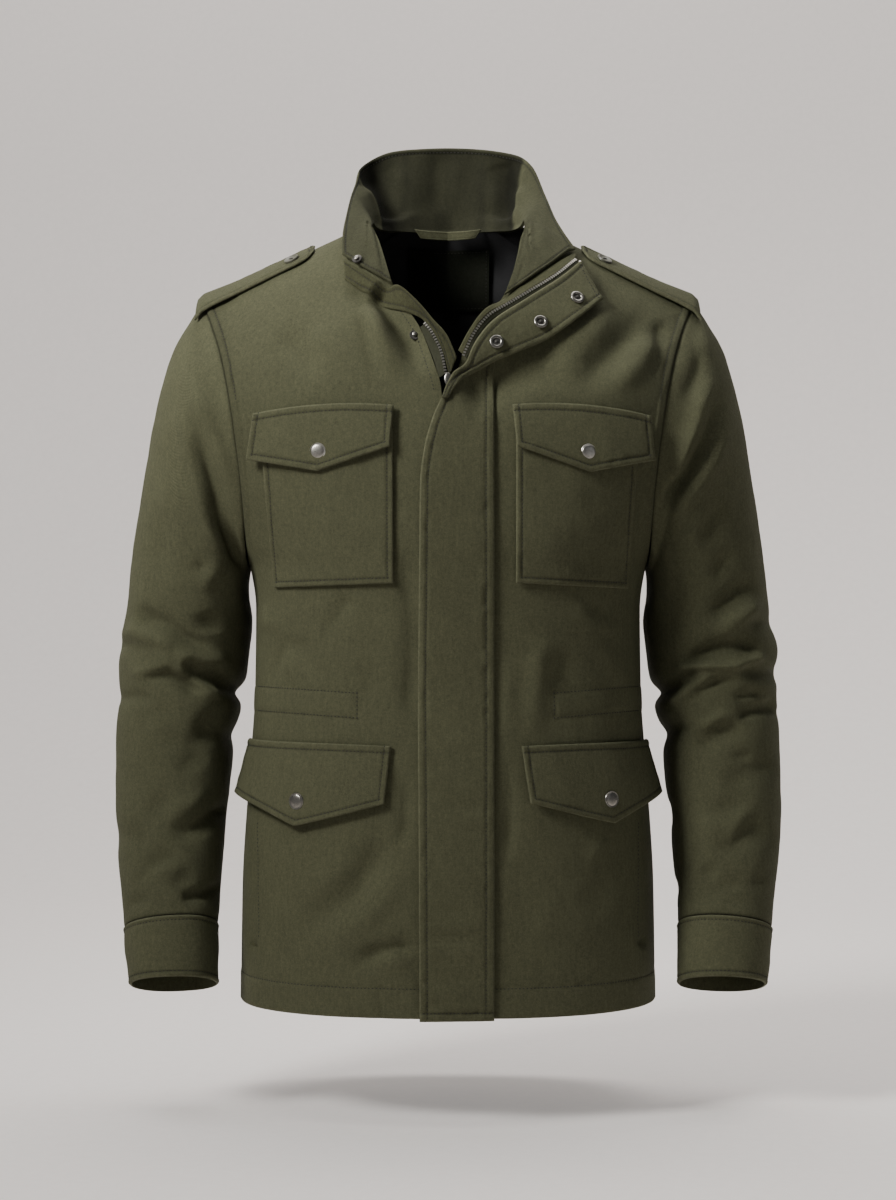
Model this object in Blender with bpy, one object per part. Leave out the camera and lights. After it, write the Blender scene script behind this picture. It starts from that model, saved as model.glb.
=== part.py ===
"""Men's field jacket, filled out as if worn and open at the neck.

Metres, +Z up. The front faces -Y, and +X is the wearer's left. The origin lies midway between
the shoulders at the height of the neck points, where the wearer's shoulders carry the jacket.
Every panel is a thin wall on one closed body form, and what lies on a panel is made from the
panel's own points, moved out along its normal.
"""

import bpy
import numpy as np

# Walls and seams
ZIP_CHAIN_LIFT = 0.0003
PANEL_WALL = 0.0016
LINING_WALL = 0.0010
COLLAR_WALL = 0.0030
POCKET_WALL = 0.0016
ON_PANEL = 0.0021
FLAP_WALL = 0.0020
TAPE_WALL = 0.0008
ZIP_CHAIN_WALL = 0.0014
CUFF_WALL = 0.0026
SEAM_HALF_GAP = 0.0002
LINING_IN = 0.0075

# Body form: horizontal sections that close over into the shoulder line
SECTION_POWER = 2.4
ROLL_POWER = 2.2
ROLL_HEIGHT = 0.160
RIDGE_Y = 0.005
NECK_POINT_X = 0.074
NECK_POINT_Z = 0.0143
SHOULDER_SLOPE = 0.4635
SHOULDER_TIP_X = 0.229
SHOULDER_TIP_Z = NECK_POINT_Z - SHOULDER_SLOPE * (SHOULDER_TIP_X - NECK_POINT_X)
HEM_Z = -0.704
UNDERARM_Z = -0.305
BACK_NECK_Z = 0.017
CENTRE_EDGE_X = 0.005

FORM_COLUMNS = ("z", "half_width", "front", "back")
FORM_ROWS = (
    (-0.710, 0.1925, 0.138, 0.122),
    (-0.600, 0.1910, 0.134, 0.119),
    (-0.500, 0.1850, 0.128, 0.110),
    (-0.420, 0.1795, 0.124, 0.103),
    (-0.345, 0.1785, 0.129, 0.108),
    (-0.305, 0.1840, 0.133, 0.114),
    (-0.285, 0.1950, 0.135, 0.118),
    (-0.260, 0.2085, 0.136, 0.121),
    (-0.220, 0.2280, 0.136, 0.125),
    (-0.180, 0.2430, 0.133, 0.127),
    (-0.140, 0.2540, 0.127, 0.126),
    (-0.100, 0.2620, 0.118, 0.122),
    (-0.060, 0.2660, 0.108, 0.116),
    (0.030, 0.2680, 0.094, 0.108),
)

ARMHOLE_COLUMNS = ("z", "x")
ARMHOLE_ROWS = (
    (UNDERARM_Z, 0.1840),
    (-0.260, 0.1850),
    (-0.220, 0.1880),
    (-0.180, 0.1930),
    (-0.142, 0.1995),
    (-0.110, 0.2075),
    (-0.085, 0.2165),
    (SHOULDER_TIP_Z, SHOULDER_TIP_X),
)

# Inner edge of each front, from the closed zip up round the open neck to the neck point
RIGHT_EDGE_ROWS = (
    (HEM_Z, -CENTRE_EDGE_X),
    (-0.165, -CENTRE_EDGE_X),
    (-0.148, -0.0060),
    (-0.122, -0.0135),
    (-0.092, -0.0250),
    (-0.070, -0.0390),
    (-0.052, -0.0490),
    (-0.022, -0.0590),
    (-0.002, -0.0660),
    (NECK_POINT_Z, -NECK_POINT_X),
)
LEFT_EDGE_ROWS = (
    (HEM_Z, CENTRE_EDGE_X),
    (-0.150, CENTRE_EDGE_X),
    (-0.120, 0.0120),
    (-0.090, 0.0290),
    (-0.064, 0.0490),
    (-0.045, 0.0570),
    (-0.023, 0.0630),
    (-0.004, 0.0670),
    (NECK_POINT_Z, NECK_POINT_X),
)

# Sleeve rings from the shoulder to the cuff seam: outermost and innermost point of each ring,
# the ring's middle and half depth from front to back, and how far its front rim is lifted
SLEEVE_COLUMNS = ("outer_x", "outer_z", "inner_x", "inner_z", "mid_y", "half_depth", "lift")
SLEEVE_ROWS = (
    (0.2420, -0.0790, 0.1865, -0.3180, 0.006, 0.089, 0.000),
    (0.2580, -0.1080, 0.1870, -0.3270, 0.008, 0.088, 0.000),
    (0.2720, -0.1580, 0.1865, -0.3360, 0.010, 0.083, 0.000),
    (0.2835, -0.2180, 0.1850, -0.3460, 0.013, 0.077, 0.000),
    (0.2935, -0.2800, 0.1840, -0.3570, 0.016, 0.072, 0.000),
    (0.3010, -0.3420, 0.1850, -0.3720, 0.018, 0.069, 0.000),
    (0.3100, -0.3860, 0.1875, -0.3960, 0.018, 0.067, 0.002),
    (0.3085, -0.4250, 0.1895, -0.4250, 0.015, 0.065, 0.004),
    (0.3105, -0.4600, 0.1975, -0.4560, 0.010, 0.061, 0.006),
    (0.3100, -0.5100, 0.2030, -0.5030, 0.001, 0.056, 0.008),
    (0.3080, -0.5600, 0.2075, -0.5520, -0.012, 0.052, 0.010),
    (0.3020, -0.6050, 0.2105, -0.5960, -0.024, 0.048, 0.013),
    (0.2975, -0.6390, 0.2120, -0.6320, -0.034, 0.045, 0.016),
)
CUFF_ROWS = (
    (0.2975, -0.6396, 0.2120, -0.6326, -0.034, 0.045, 0.016),
    (0.2945, -0.6640, 0.2115, -0.6590, -0.042, 0.044, 0.015),
    (0.2905, -0.6885, 0.2110, -0.6855, -0.050, 0.043, 0.014),
)
SLEEVE_POWER = 2.15
TUBE_SIDES = 18
ELBOW_RING = 8
CUFF_PROUD = 0.0014
SHOULDER_SEAM_GAP = 0.0006
UNDERARM_SEAM_GAP = 0.0020

# Collar: where it is sewn on (face, x, z of the neckline) and where its top edge stands
COLLAR_COLUMNS = ("seam_x", "seam_z", "top_x", "top_y", "top_z")
COLLAR_FRONT_STATIONS = 4
COLLAR_ROWS = (
    (-0.0500, -0.0540, -0.0960, -0.064, -0.0235),
    (-0.0560, -0.0320, -0.0965, -0.043, -0.0020),
    (-0.0620, -0.0120, -0.0940, -0.010, 0.0220),
    (-0.0725, 0.0138, -0.0895, 0.026, 0.0500),
    (-0.0640, 0.0148, -0.0810, 0.054, 0.0770),
    (-0.0420, 0.0160, -0.0575, 0.079, 0.0945),
    (0.0000, BACK_NECK_Z, 0.0000, 0.091, 0.0999),
    (0.0420, 0.0160, 0.0575, 0.079, 0.0945),
    (0.0640, 0.0148, 0.0810, 0.054, 0.0765),
    (0.0725, 0.0138, 0.0910, 0.028, 0.0460),
    (0.0670, -0.0080, 0.0985, -0.004, 0.0200),
    (0.0600, -0.0360, 0.1080, -0.028, -0.0010),
    (0.0500, -0.0650, 0.1170, -0.043, -0.0150),
)
COLLAR_CLEAR = 0.0045
COLLAR_RISE = 0.0020

# Front strips that follow the opened edge: inner and outer border, each with its lift
STRIP_COLUMNS = ("in_x", "in_z", "in_lift", "out_x", "out_z", "out_lift")
ZIP_GUARD_ROWS = (
    (0.0080, -0.1210, 0.0045, 0.0010, -0.1390, 0.0025),
    (-0.0010, -0.1015, 0.0060, -0.0050, -0.1160, 0.0025),
    (-0.0125, -0.0885, 0.0075, -0.0150, -0.0960, 0.0025),
    (-0.0260, -0.0725, 0.0085, -0.0235, -0.0850, 0.0025),
    (-0.0440, -0.0560, 0.0080, -0.0380, -0.0770, 0.0025),
    (-0.0560, -0.0525, 0.0008, -0.0640, -0.0640, 0.0008),
    (-0.0740, -0.0410, 0.0008, -0.0790, -0.0560, 0.0008),
    (-0.0950, -0.0270, 0.0008, -0.0930, -0.0465, 0.0008),
)
ZIP_FACING_ROWS = (
    (0.0090, -0.1150, 0.0050, 0.0130, -0.1190, 0.0065),
    (0.0185, -0.0975, 0.0070, 0.0225, -0.0990, 0.0080),
    (0.0315, -0.0805, 0.0085, 0.0345, -0.0845, 0.0085),
    (0.0500, -0.0665, 0.0014, 0.0540, -0.0715, 0.0070),
    (0.0700, -0.0500, 0.0014, 0.0735, -0.0590, 0.0070),
    (0.0960, -0.0320, 0.0014, 0.0950, -0.0450, 0.0070),
    (0.1170, -0.0190, 0.0014, 0.1130, -0.0300, 0.0070),
)
RIGHT_TAPE_ROWS = (
    (-0.0016, -0.1350, 0.0045, -0.0080, -0.1385, -0.0004),
    (-0.0055, -0.1160, 0.0045, -0.0130, -0.1210, -0.0004),
    (-0.0150, -0.0965, 0.0045, -0.0230, -0.0960, -0.0004),
    (-0.0200, -0.0900, 0.0045, -0.0250, -0.0905, -0.0004),
)
LEFT_TAPE_ROWS = (
    (0.0135, -0.1195, 0.0068, 0.0165, -0.1230, 0.0075),
    (0.0230, -0.1000, 0.0084, 0.0260, -0.1040, 0.0074),
    (0.0350, -0.0855, 0.0086, 0.0375, -0.0900, 0.0072),
    (0.0545, -0.0725, 0.0070, 0.0565, -0.0770, 0.0064),
    (0.0740, -0.0600, 0.0070, 0.0765, -0.0640, 0.0064),
    (0.0955, -0.0460, 0.0070, 0.0985, -0.0495, 0.0064),
    (0.1130, -0.0312, 0.0070, 0.1165, -0.0340, 0.0064),
)
LAPEL_ROWS = (
    (-0.0060, -0.1590, 0.0095, 0.0010, -0.1580, 0.0090),
    (-0.0018, -0.1477, 0.0095, 0.0060, -0.1490, 0.0090),
    (0.0044, -0.1360, 0.0095, 0.0140, -0.1400, 0.0082),
    (0.0150, -0.1275, 0.0095, 0.0270, -0.1325, 0.0076),
    (0.0215, -0.1130, 0.0095, 0.0420, -0.1240, 0.0070),
    (0.0300, -0.1000, 0.0095, 0.0545, -0.1185, 0.0070),
    (0.0415, -0.0880, 0.0090, 0.0700, -0.1120, 0.0065),
    (0.0590, -0.0760, 0.0085, 0.0850, -0.1055, 0.0060),
    (0.0785, -0.0630, 0.0085, 0.1045, -0.0940, 0.0060),
    (0.1000, -0.0485, 0.0085, 0.1230, -0.0800, 0.0060),
    (0.1180, -0.0330, 0.0080, 0.1375, -0.0680, 0.0055),
)
STORM_FLAP_COLUMNS = ("z", "left_x", "right_x", "left_lift", "right_lift")
STORM_FLAP_ROWS = (
    (-0.7055, -0.0247, 0.0405, 0.0050, 0.0012),
    (-0.5600, -0.0255, 0.0408, 0.0050, 0.0012),
    (-0.4240, -0.0264, 0.0408, 0.0050, 0.0012),
    (-0.3000, -0.0252, 0.0408, 0.0052, 0.0012),
    (-0.2300, -0.0243, 0.0408, 0.0056, 0.0012),
    (-0.2000, -0.0205, 0.0408, 0.0058, 0.0012),
    (-0.1750, -0.0135, 0.0410, 0.0058, 0.0012),
    (-0.1600, -0.0070, 0.0412, 0.0058, 0.0012),
    (-0.1480, -0.0010, 0.0415, 0.0058, 0.0012),
    (-0.1330, 0.0095, 0.0420, 0.0048, 0.0012),
)

# Pockets: corners as (x, z) on the form, for the wearer's right and left
CHEST_BAG_COLUMNS = ("side", "top_out", "top_in", "low_out", "low_in")
CHEST_BAGS = (
    ("right", (-0.1655, -0.190), (-0.0485, -0.185), (-0.1555, -0.324), (-0.0480, -0.3200)),
    ("left", (0.1690, -0.190), (0.0600, -0.185), (0.1610, -0.325), (0.0596, -0.3195)),
)
FLAP_COLUMNS = ("name", "top_out", "top_bow", "top_in", "low_in", "tip", "low_out", "flare")
FLAPS = (
    ("chest_flap_right", (-0.1715, -0.1695), 0.0040, (-0.0477, -0.1637), (-0.0505, -0.2006),
     (-0.1136, -0.2209), (-0.1750, -0.2092), 0.0015),
    ("chest_flap_left", (0.1790, -0.1710), 0.0045, (0.0566, -0.1628), (0.0600, -0.2001),
     (0.1239, -0.2214), (0.1800, -0.2096), 0.0015),
    ("hip_flap_right", (-0.1795, -0.4634), 0.0010, (-0.0501, -0.4645), (-0.0558, -0.5157),
     (-0.1332, -0.5374), (-0.1835, -0.5140), 0.0070),
    ("hip_flap_left", (0.1800, -0.4643), 0.0010, (0.0646, -0.4646), (0.0718, -0.5150),
     (0.1442, -0.5355), (0.1838, -0.5140), 0.0070),
)
CHEST_FLAP_LIFT = 0.0043
HIP_FLAP_LIFT = 0.0022

# Shoulder straps: distance out from the middle, middle of the width, half width
EPAULETTE_COLUMNS = ("x", "mid_y", "half_width", "lift")
EPAULETTE_ROWS = (
    (0.1235, 0.000, 0.0100, 0.0012),
    (0.1290, 0.000, 0.0195, 0.0012),
    (0.1420, 0.001, 0.0230, 0.0012),
    (0.1850, 0.003, 0.0250, 0.0014),
    (0.2325, 0.005, 0.0270, 0.0044),
)
EPAULETTE_BUTTON_LIFT = 0.0038

# Metal: places as (name, x, z, lift) on the front
SNAP_RADIUS = 0.0075
SNAP_HEIGHT = 0.0024
POCKET_SNAPS = (
    ("chest_snap_right", -0.1130, -0.2040, 0.0073),
    ("chest_snap_left", 0.1222, -0.2045, 0.0073),
    ("hip_snap_right", -0.1315, -0.5152, 0.0072),
    ("hip_snap_left", 0.1415, -0.5141, 0.0076),
)
SOCKET_RADIUS = 0.0062
SOCKET_HOLE = 0.0030
SOCKET_HEIGHT = 0.0014
LAPEL_SOCKETS = (
    ("lapel_socket_upper", 0.1133, -0.0690, 0.0098),
    ("lapel_socket_middle", 0.0811, -0.0911, 0.0103),
    ("lapel_socket_lower", 0.0424, -0.1091, 0.0112),
)
STUD_RADIUS = 0.0046
COLLAR_STUD = ("collar_stud", -0.0800, -0.0320, 0.0084)
FRONT_STUD = ("front_stud", -0.0300, -0.0965, 0.0008)
BUTTON_RADIUS = 0.0072
EPAULETTE_BUTTON_X = 0.1440
EPAULETTE_BUTTON_Y = -0.006

BACK_COLUMNS = 17
UNDERARM_ROW = 10

# Neck fittings
LINING_TOP_Z = 0.0135
LINING_LOW_Z = -0.300
LINING_TOP_HALF = 0.046
LINING_LOW_HALF = 0.150
LABEL_BOX = (-0.0385, 0.0395, -0.0580, -0.0010)
SIZE_TAG_BOX = (-0.0030, 0.0080, -0.0670, -0.0583)
LABEL_WALL = 0.0006
LABEL_IN = 0.0022
LOOP_TOP = 0.0320
LOOP_LOW = 0.0262
LOOP_WALL = 0.0016


class Table:
    """Rows of named columns, read smoothly between the rows."""

    def __init__(self, columns, rows):
        self.columns = columns
        self.rows = np.array(rows, float)

    def column(self, name):
        return self.rows[:, self.columns.index(name)]

    def read(self, name, key):
        """A column at any value of the first column, which rises."""
        return smooth(self.rows[:, 0], self.column(name), key)

    def spread(self, name, count):
        """A column at even steps from the first row to the last."""
        steps = np.arange(len(self.rows), dtype=float)
        return smooth(steps, self.column(name), np.linspace(0, steps[-1], count))


def smooth(keys, values, at):
    """Cubic curve through the points (keys, values) that adds no bump between them."""
    step = np.diff(keys)
    rise = np.diff(values) / step
    slope = np.empty(len(keys))
    slope[0], slope[-1] = rise[0], rise[-1]
    product = rise[:-1] * rise[1:]
    total = np.where(product > 0, rise[:-1] + rise[1:], 1.0)
    slope[1:-1] = np.where(product > 0, 2 * product / total, 0.0)
    at = np.clip(at, keys[0], keys[-1])
    cell = np.clip(np.searchsorted(keys, at, side="right") - 1, 0, len(keys) - 2)
    t = (at - keys[cell]) / step[cell]
    return (
        (2 * t**3 - 3 * t**2 + 1) * values[cell]
        + (t**3 - 2 * t**2 + t) * step[cell] * slope[cell]
        + (3 * t**2 - 2 * t**3) * values[cell + 1]
        + (t**3 - t**2) * step[cell] * slope[cell + 1]
    )


FORM = Table(FORM_COLUMNS, FORM_ROWS)
ARMHOLE = Table(ARMHOLE_COLUMNS, ARMHOLE_ROWS)


def ridge_z(x):
    """Height of the shoulder line at a distance from the middle."""
    return NECK_POINT_Z - SHOULDER_SLOPE * (np.abs(x) - NECK_POINT_X)


def depth(x, z, face):
    """y of the form's front or back at (x, z)."""
    reach = np.clip(np.abs(x) / FORM.read("half_width", z), 0, 1)
    section = (1 - reach**SECTION_POWER) ** (1 / SECTION_POWER)
    fall = np.clip((ridge_z(x) - z) / ROLL_HEIGHT, 0, 1)
    roll = (1 - (1 - fall) ** ROLL_POWER) ** (1 / ROLL_POWER)
    side = -1 if face == "front" else 1
    return RIDGE_Y + (side * FORM.read(face, z) * section - RIDGE_Y) * roll


def form_point(x, z, lift=0.0, face="front"):
    """A point on the form, moved out along its normal by lift."""
    x, z, lift = np.broadcast_arrays(np.asarray(x, float), z, lift)
    nudge = 2e-4
    limit = FORM.read("half_width", z) * 0.9992
    inner_x = np.clip(x, -limit, limit)
    low_z = np.minimum(z, ridge_z(inner_x) - nudge)
    side = -1 if face == "front" else 1
    slope_x = depth(inner_x + nudge, low_z, face) - depth(inner_x - nudge, low_z, face)
    slope_z = depth(inner_x, low_z + nudge, face) - depth(inner_x, low_z - nudge, face)
    normal = np.stack([-side * slope_x, np.full_like(x, side * 2 * nudge), -side * slope_z], -1)
    normal /= np.linalg.norm(normal, axis=-1, keepdims=True)
    point = np.stack([x, depth(x, z, face), z], -1)
    return point + normal * lift[..., None]


def shoulder_point(x, y, lift):
    """A point on the shoulder, given from above."""
    face = np.where(y < RIDGE_Y, -1.0, 1.0)
    height = ridge_z(x)
    for _ in range(4):
        reach = np.clip(np.abs(x) / FORM.read("half_width", height), 0, 0.999)
        section = (1 - reach**SECTION_POWER) ** (1 / SECTION_POWER)
        full = np.where(face < 0, FORM.read("front", height), FORM.read("back", height))
        part = np.clip((y - RIDGE_Y) / (face * full * section - RIDGE_Y), 0, 0.98)
        height = ridge_z(x) - ROLL_HEIGHT * (1 - (1 - part**ROLL_POWER) ** (1 / ROLL_POWER))
    return np.stack([x, y, height + lift], -1)


def grid_normals(grid, wrap):
    """Unit normals of a grid of points, rows by columns."""
    if wrap:
        along = np.roll(grid, -1, axis=1) - np.roll(grid, 1, axis=1)
    else:
        along = np.gradient(grid, axis=1)
    normal = np.cross(along, np.gradient(grid, axis=0))
    return normal / np.linalg.norm(normal, axis=-1, keepdims=True)


def new_material(name, colour, roughness, metallic=0.0):
    material = bpy.data.materials.new(name)
    material.use_nodes = True
    shader = material.node_tree.nodes["Principled BSDF"]
    shader.inputs["Base Color"].default_value = (*colour, 1.0)
    shader.inputs["Roughness"].default_value = roughness
    shader.inputs["Metallic"].default_value = metallic
    return material


def add_solid(name, points, faces, material):
    """A closed body from points and faces, turned so that its faces point out."""
    mesh = bpy.data.meshes.new(name)
    mesh.from_pydata([tuple(point) for point in points], [], faces)
    mesh.materials.append(material)
    solid = bpy.data.objects.new(name, mesh)
    bpy.context.scene.collection.objects.link(solid)
    volume = 0.0
    mesh.calc_loop_triangles()
    for triangle in mesh.loop_triangles:
        a, b, c = (np.array(mesh.vertices[i].co) for i in triangle.vertices)
        volume += np.dot(a, np.cross(b, c))
    if volume < 0:
        mesh.flip_normals()
    mesh.shade_smooth()
    mesh.set_sharp_from_angle(angle=0.9)
    return solid


def add_shell(name, outer, inner, material, wrap=False):
    """A wall between two grids of points, closed round its borders. wrap joins the columns."""
    rows, columns = outer.shape[:2]
    count = rows * columns
    points = np.concatenate([outer.reshape(-1, 3), inner.reshape(-1, 3)])
    faces = []
    cells = columns if wrap else columns - 1

    def at(row, column, layer):
        return layer * count + row * columns + column % columns

    for row in range(rows - 1):
        for column in range(cells):
            ring = [(row, column), (row, column + 1), (row + 1, column + 1), (row + 1, column)]
            faces.append([at(r, c, 0) for r, c in ring])
            faces.append([at(r, c, 1) for r, c in reversed(ring)])
    for column in range(cells):
        for row, turn in ((0, False), (rows - 1, True)):
            edge = [at(row, column, 0), at(row, column, 1)]
            edge += [at(row, column + 1, 1), at(row, column + 1, 0)]
            faces.append(edge[::-1] if turn else edge)
    if not wrap:
        for row in range(rows - 1):
            for column, turn in ((0, True), (columns - 1, False)):
                edge = [at(row, column, 0), at(row, column, 1)]
                edge += [at(row + 1, column, 1), at(row + 1, column, 0)]
                faces.append(edge[::-1] if turn else edge)
    return add_solid(name, points, faces, material)


def add_parted_shell(name, outer, inner, row, parts, material):
    """A wall in two bodies that meet at a row, with a seam's gap between them."""
    rise = np.sign(outer[-1, 0, 2] - outer[0, 0, 2])
    first = (parts[0], slice(0, row + 1), -1, -1)
    second = (parts[1], slice(row, None), 0, 1)
    for part, rows, border, way in (first, second):
        grids = [grid[rows].copy() for grid in (outer, inner)]
        for grid in grids:
            grid[border, :, 2] += way * rise * SEAM_HALF_GAP
        add_shell(f"{name}_{part}", *grids, material)


def add_laid(name, x, z, lift, wall, material, face="front"):
    """A piece of cloth that lies on the form, given by its points' x, z and lift."""
    outer = form_point(x, z, lift + wall, face)
    inner = form_point(x, z, lift, face)
    return add_shell(name, outer, inner, material)


def blend(a, b, t):
    return a + (b - a) * t


def panel_rows():
    """Fractions of the panel's height: below the underarm (0 to 1) and above it (1 to 2)."""
    low = np.linspace(0, 1, UNDERARM_ROW + 1)
    high = 1 + np.sin(np.linspace(0, np.pi / 2, 12))[1:]
    return np.concatenate([low, high])


def add_front(name, edge_rows, side, material):
    """A front from its centre edge to the side seam and armhole."""
    edge = Table(("z", "x"), edge_rows)
    rows = panel_rows()
    across = np.sin(np.linspace(0, np.pi / 2, 11)) ** 0.9
    low, high = np.clip(rows, 0, 1), np.clip(rows - 1, 0, 1)
    base = blend(HEM_Z, UNDERARM_Z, low)
    in_z = blend(base, NECK_POINT_Z, high)
    out_z = blend(base, SHOULDER_TIP_Z, high)
    in_x = edge.read("x", in_z) * side
    side_x = np.where(rows <= 1, FORM.read("half_width", out_z), ARMHOLE.read("x", out_z))
    x = side * blend(in_x[:, None], side_x[:, None], across[None, :])
    z = blend(in_z[:, None], out_z[:, None], across[None, :])
    outer = form_point(x, z)
    inner = form_point(x, z, -PANEL_WALL)
    outer[..., 1] -= SEAM_HALF_GAP
    inner[..., 1] -= SEAM_HALF_GAP
    add_parted_shell(name, outer, inner, UNDERARM_ROW, ("lower", "upper"), material)


def back_grid(lift):
    """Points over the back, from hem to neckline and shoulder seams."""
    rows = panel_rows()
    across = np.sin(np.linspace(-np.pi / 2, np.pi / 2, BACK_COLUMNS))
    low, high = np.clip(rows, 0, 1), np.clip(rows - 1, 0, 1)
    base = blend(HEM_Z, UNDERARM_Z, low)
    out_z = blend(base, SHOULDER_TIP_Z, high)
    side_x = np.where(rows <= 1, FORM.read("half_width", out_z), ARMHOLE.read("x", out_z))
    x = across[None, :] * side_x[:, None]
    top = np.where(np.abs(x[-1]) < NECK_POINT_X, neckline_z(x[-1]), ridge_z(x[-1]))
    z = blend(base[:, None], top[None, :], high[:, None])
    grid = form_point(x, z, lift, "back")
    grid[..., 1] += SEAM_HALF_GAP
    return grid


def neckline_z(x):
    """Height of the back neckline."""
    return BACK_NECK_Z - (BACK_NECK_Z - NECK_POINT_Z) * (np.abs(x) / NECK_POINT_X) ** 1.6


def add_back(material):
    """The back in two halves that meet at the centre."""
    outer, inner = back_grid(0.0), back_grid(-PANEL_WALL)
    middle = BACK_COLUMNS // 2
    for name, columns, side in (("right", slice(0, middle + 1), -1), ("left", slice(middle, None), 1)):
        halves = [grid[:, columns].copy() for grid in (outer, inner)]
        for half in halves:
            half[:, -1 if side < 0 else 0, 0] += side * SEAM_HALF_GAP
        add_parted_shell(f"back_{name}", *halves, UNDERARM_ROW, ("lower", "upper"), material)


def lining_point(x, z, inward=0.0):
    """A point on the lining inside the back of the neck."""
    y = depth(x, z, "back") - LINING_IN - inward
    return np.stack([x, y, z], -1)


def add_neck_lining(material):
    z = LINING_TOP_Z - (LINING_TOP_Z - LINING_LOW_Z) * np.linspace(0, 1, 9)[:, None] ** 1.5
    half = np.minimum(LINING_TOP_HALF + (LINING_TOP_Z - z) * 1.5, LINING_LOW_HALF)
    x = half * np.linspace(-1, 1, 9)[None, :]
    z = z + 0 * x
    return add_shell("neck_lining", lining_point(x, z), lining_point(x, z, LINING_WALL), material)


def armhole_ring(angles, side):
    """The armhole's points by angle: 0 at the shoulder tip, a quarter turn at the front."""
    z = blend(UNDERARM_Z, SHOULDER_TIP_Z, (1 + np.cos(angles)) / 2)
    x = ARMHOLE.read("x", z)
    front = np.sin(angles) > 0
    y = np.where(front, depth(x, z, "front"), depth(x, z, "back"))
    gap = blend(UNDERARM_SEAM_GAP, SHOULDER_SEAM_GAP, (1 + np.cos(angles)) / 2)
    return np.stack([side * (x + gap), y, z], -1)


def tube_rings(rows, count, angles, side, proud=0.0):
    """Rings of a sleeve or cuff from its table."""
    table = Table(SLEEVE_COLUMNS, rows)
    values = {name: table.spread(name, count)[:, None] for name in SLEEVE_COLUMNS}
    cosine = np.sign(np.cos(angles)) * np.abs(np.cos(angles)) ** (2 / SLEEVE_POWER)
    sine = np.sign(np.sin(angles)) * np.abs(np.sin(angles)) ** (2 / SLEEVE_POWER)
    mid_x = (values["outer_x"] + values["inner_x"]) / 2
    mid_z = (values["outer_z"] + values["inner_z"]) / 2
    half_x = (values["outer_x"] - values["inner_x"]) / 2 + proud
    half_z = (values["outer_z"] - values["inner_z"]) / 2
    x = mid_x + half_x * cosine
    y = values["mid_y"] - (values["half_depth"] + proud) * sine
    z = mid_z + half_z * cosine + values["lift"] * sine
    return np.stack([side * x, y, z], -1)


def inset_rings(rings, wall, side):
    """Rings moved in by the wall's thickness."""
    return rings - grid_normals(rings, wrap=True) * wall * -side


def add_sleeve(name, side, material):
    """The front and back halves of a sleeve, from the armhole to the cuff seam."""
    angles = np.linspace(0, 2 * np.pi, TUBE_SIDES, endpoint=False)
    body = tube_rings(SLEEVE_ROWS, 13, angles, side)
    seam = armhole_ring(angles, side)
    rings = np.concatenate([seam[None], blend(seam, body[0], 0.45)[None], body])
    inner = inset_rings(rings, PANEL_WALL, side)
    steps = np.arange(TUBE_SIDES // 2 + 1)
    for face, first, way in (("front", 0, -1), ("back", TUBE_SIDES // 2, 1)):
        columns = (first + steps) % TUBE_SIDES
        halves = [grid[:, columns] for grid in (rings, inner)]
        for half in halves:
            half[:, [0, -1], 1] += way * SEAM_HALF_GAP
        add_parted_shell(f"{name}_{face}", *halves, ELBOW_RING, ("upper", "lower"), material)


def add_cuff(name, side, material):
    """A plain cuff, a little proud of the sleeve."""
    angles = np.linspace(0, 2 * np.pi, TUBE_SIDES, endpoint=False)
    rings = tube_rings(CUFF_ROWS, 3, angles, side, CUFF_PROUD)
    return add_shell(name, rings, inset_rings(rings, CUFF_WALL, side), material, wrap=True)


def add_collar(material):
    """The stand collar, upright at the back and fallen open at the front."""
    table = Table(COLLAR_COLUMNS, COLLAR_ROWS)
    stations = np.arange(len(COLLAR_ROWS))
    front = (stations < COLLAR_FRONT_STATIONS) | (stations >= len(stations) - COLLAR_FRONT_STATIONS)
    seam_x, seam_z = table.column("seam_x"), table.column("seam_z")
    seam_y = np.where(front, depth(seam_x, seam_z, "front"), depth(seam_x, seam_z, "back"))
    seam_rows = np.stack([seam_x, seam_y, seam_z + COLLAR_RISE], -1)
    top_rows = np.stack([table.column(name) for name in ("top_x", "top_y", "top_z")], -1)
    steps = np.linspace(0, stations[-1], 25)
    seam = np.stack([smooth(stations, seam_rows[:, i], steps) for i in range(3)], -1)
    top = np.stack([smooth(stations, top_rows[:, i], steps) for i in range(3)], -1)
    up = np.linspace(0, 1, 6)[:, None, None]
    outer = blend(seam[None], top[None], up)
    clear_of_body(outer, up[:, 0, 0])
    inner = outer + grid_normals(outer, wrap=False) * COLLAR_WALL
    return add_shell("collar", outer, inner, material)


def clear_of_body(grid, up):
    """Brings each point that would sink into the shoulders or chest out to just above them."""
    lift = COLLAR_CLEAR * np.clip(up * 4, 0.60, 1)[:, None]
    x, y, z = grid[..., 0], grid[..., 1], grid[..., 2]
    nearest = form_point(x, z, lift, "front")[..., 1]
    low = (y < RIDGE_Y) & (z < ridge_z(x)) & (y > nearest)
    grid[..., 1] = np.where(low, nearest, y)
    shoulder = shoulder_point(x, y, lift)[..., 2]
    over = (np.abs(x) > NECK_POINT_X) & (z < shoulder)
    grid[..., 2] = np.where(over, shoulder, grid[..., 2])


def add_strip(name, rows, count, columns, wall, material):
    """A band that follows the opened edge, between its two borders."""
    table = Table(STRIP_COLUMNS, rows)
    values = {key: table.spread(key, count)[:, None] for key in STRIP_COLUMNS}
    t = np.linspace(0, 1, columns)[None, :]
    x = blend(values["in_x"], values["out_x"], t)
    z = blend(values["in_z"], values["out_z"], t)
    lift = blend(values["in_lift"], values["out_lift"], t)
    return add_laid(name, x, z, lift, wall, material)


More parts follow.
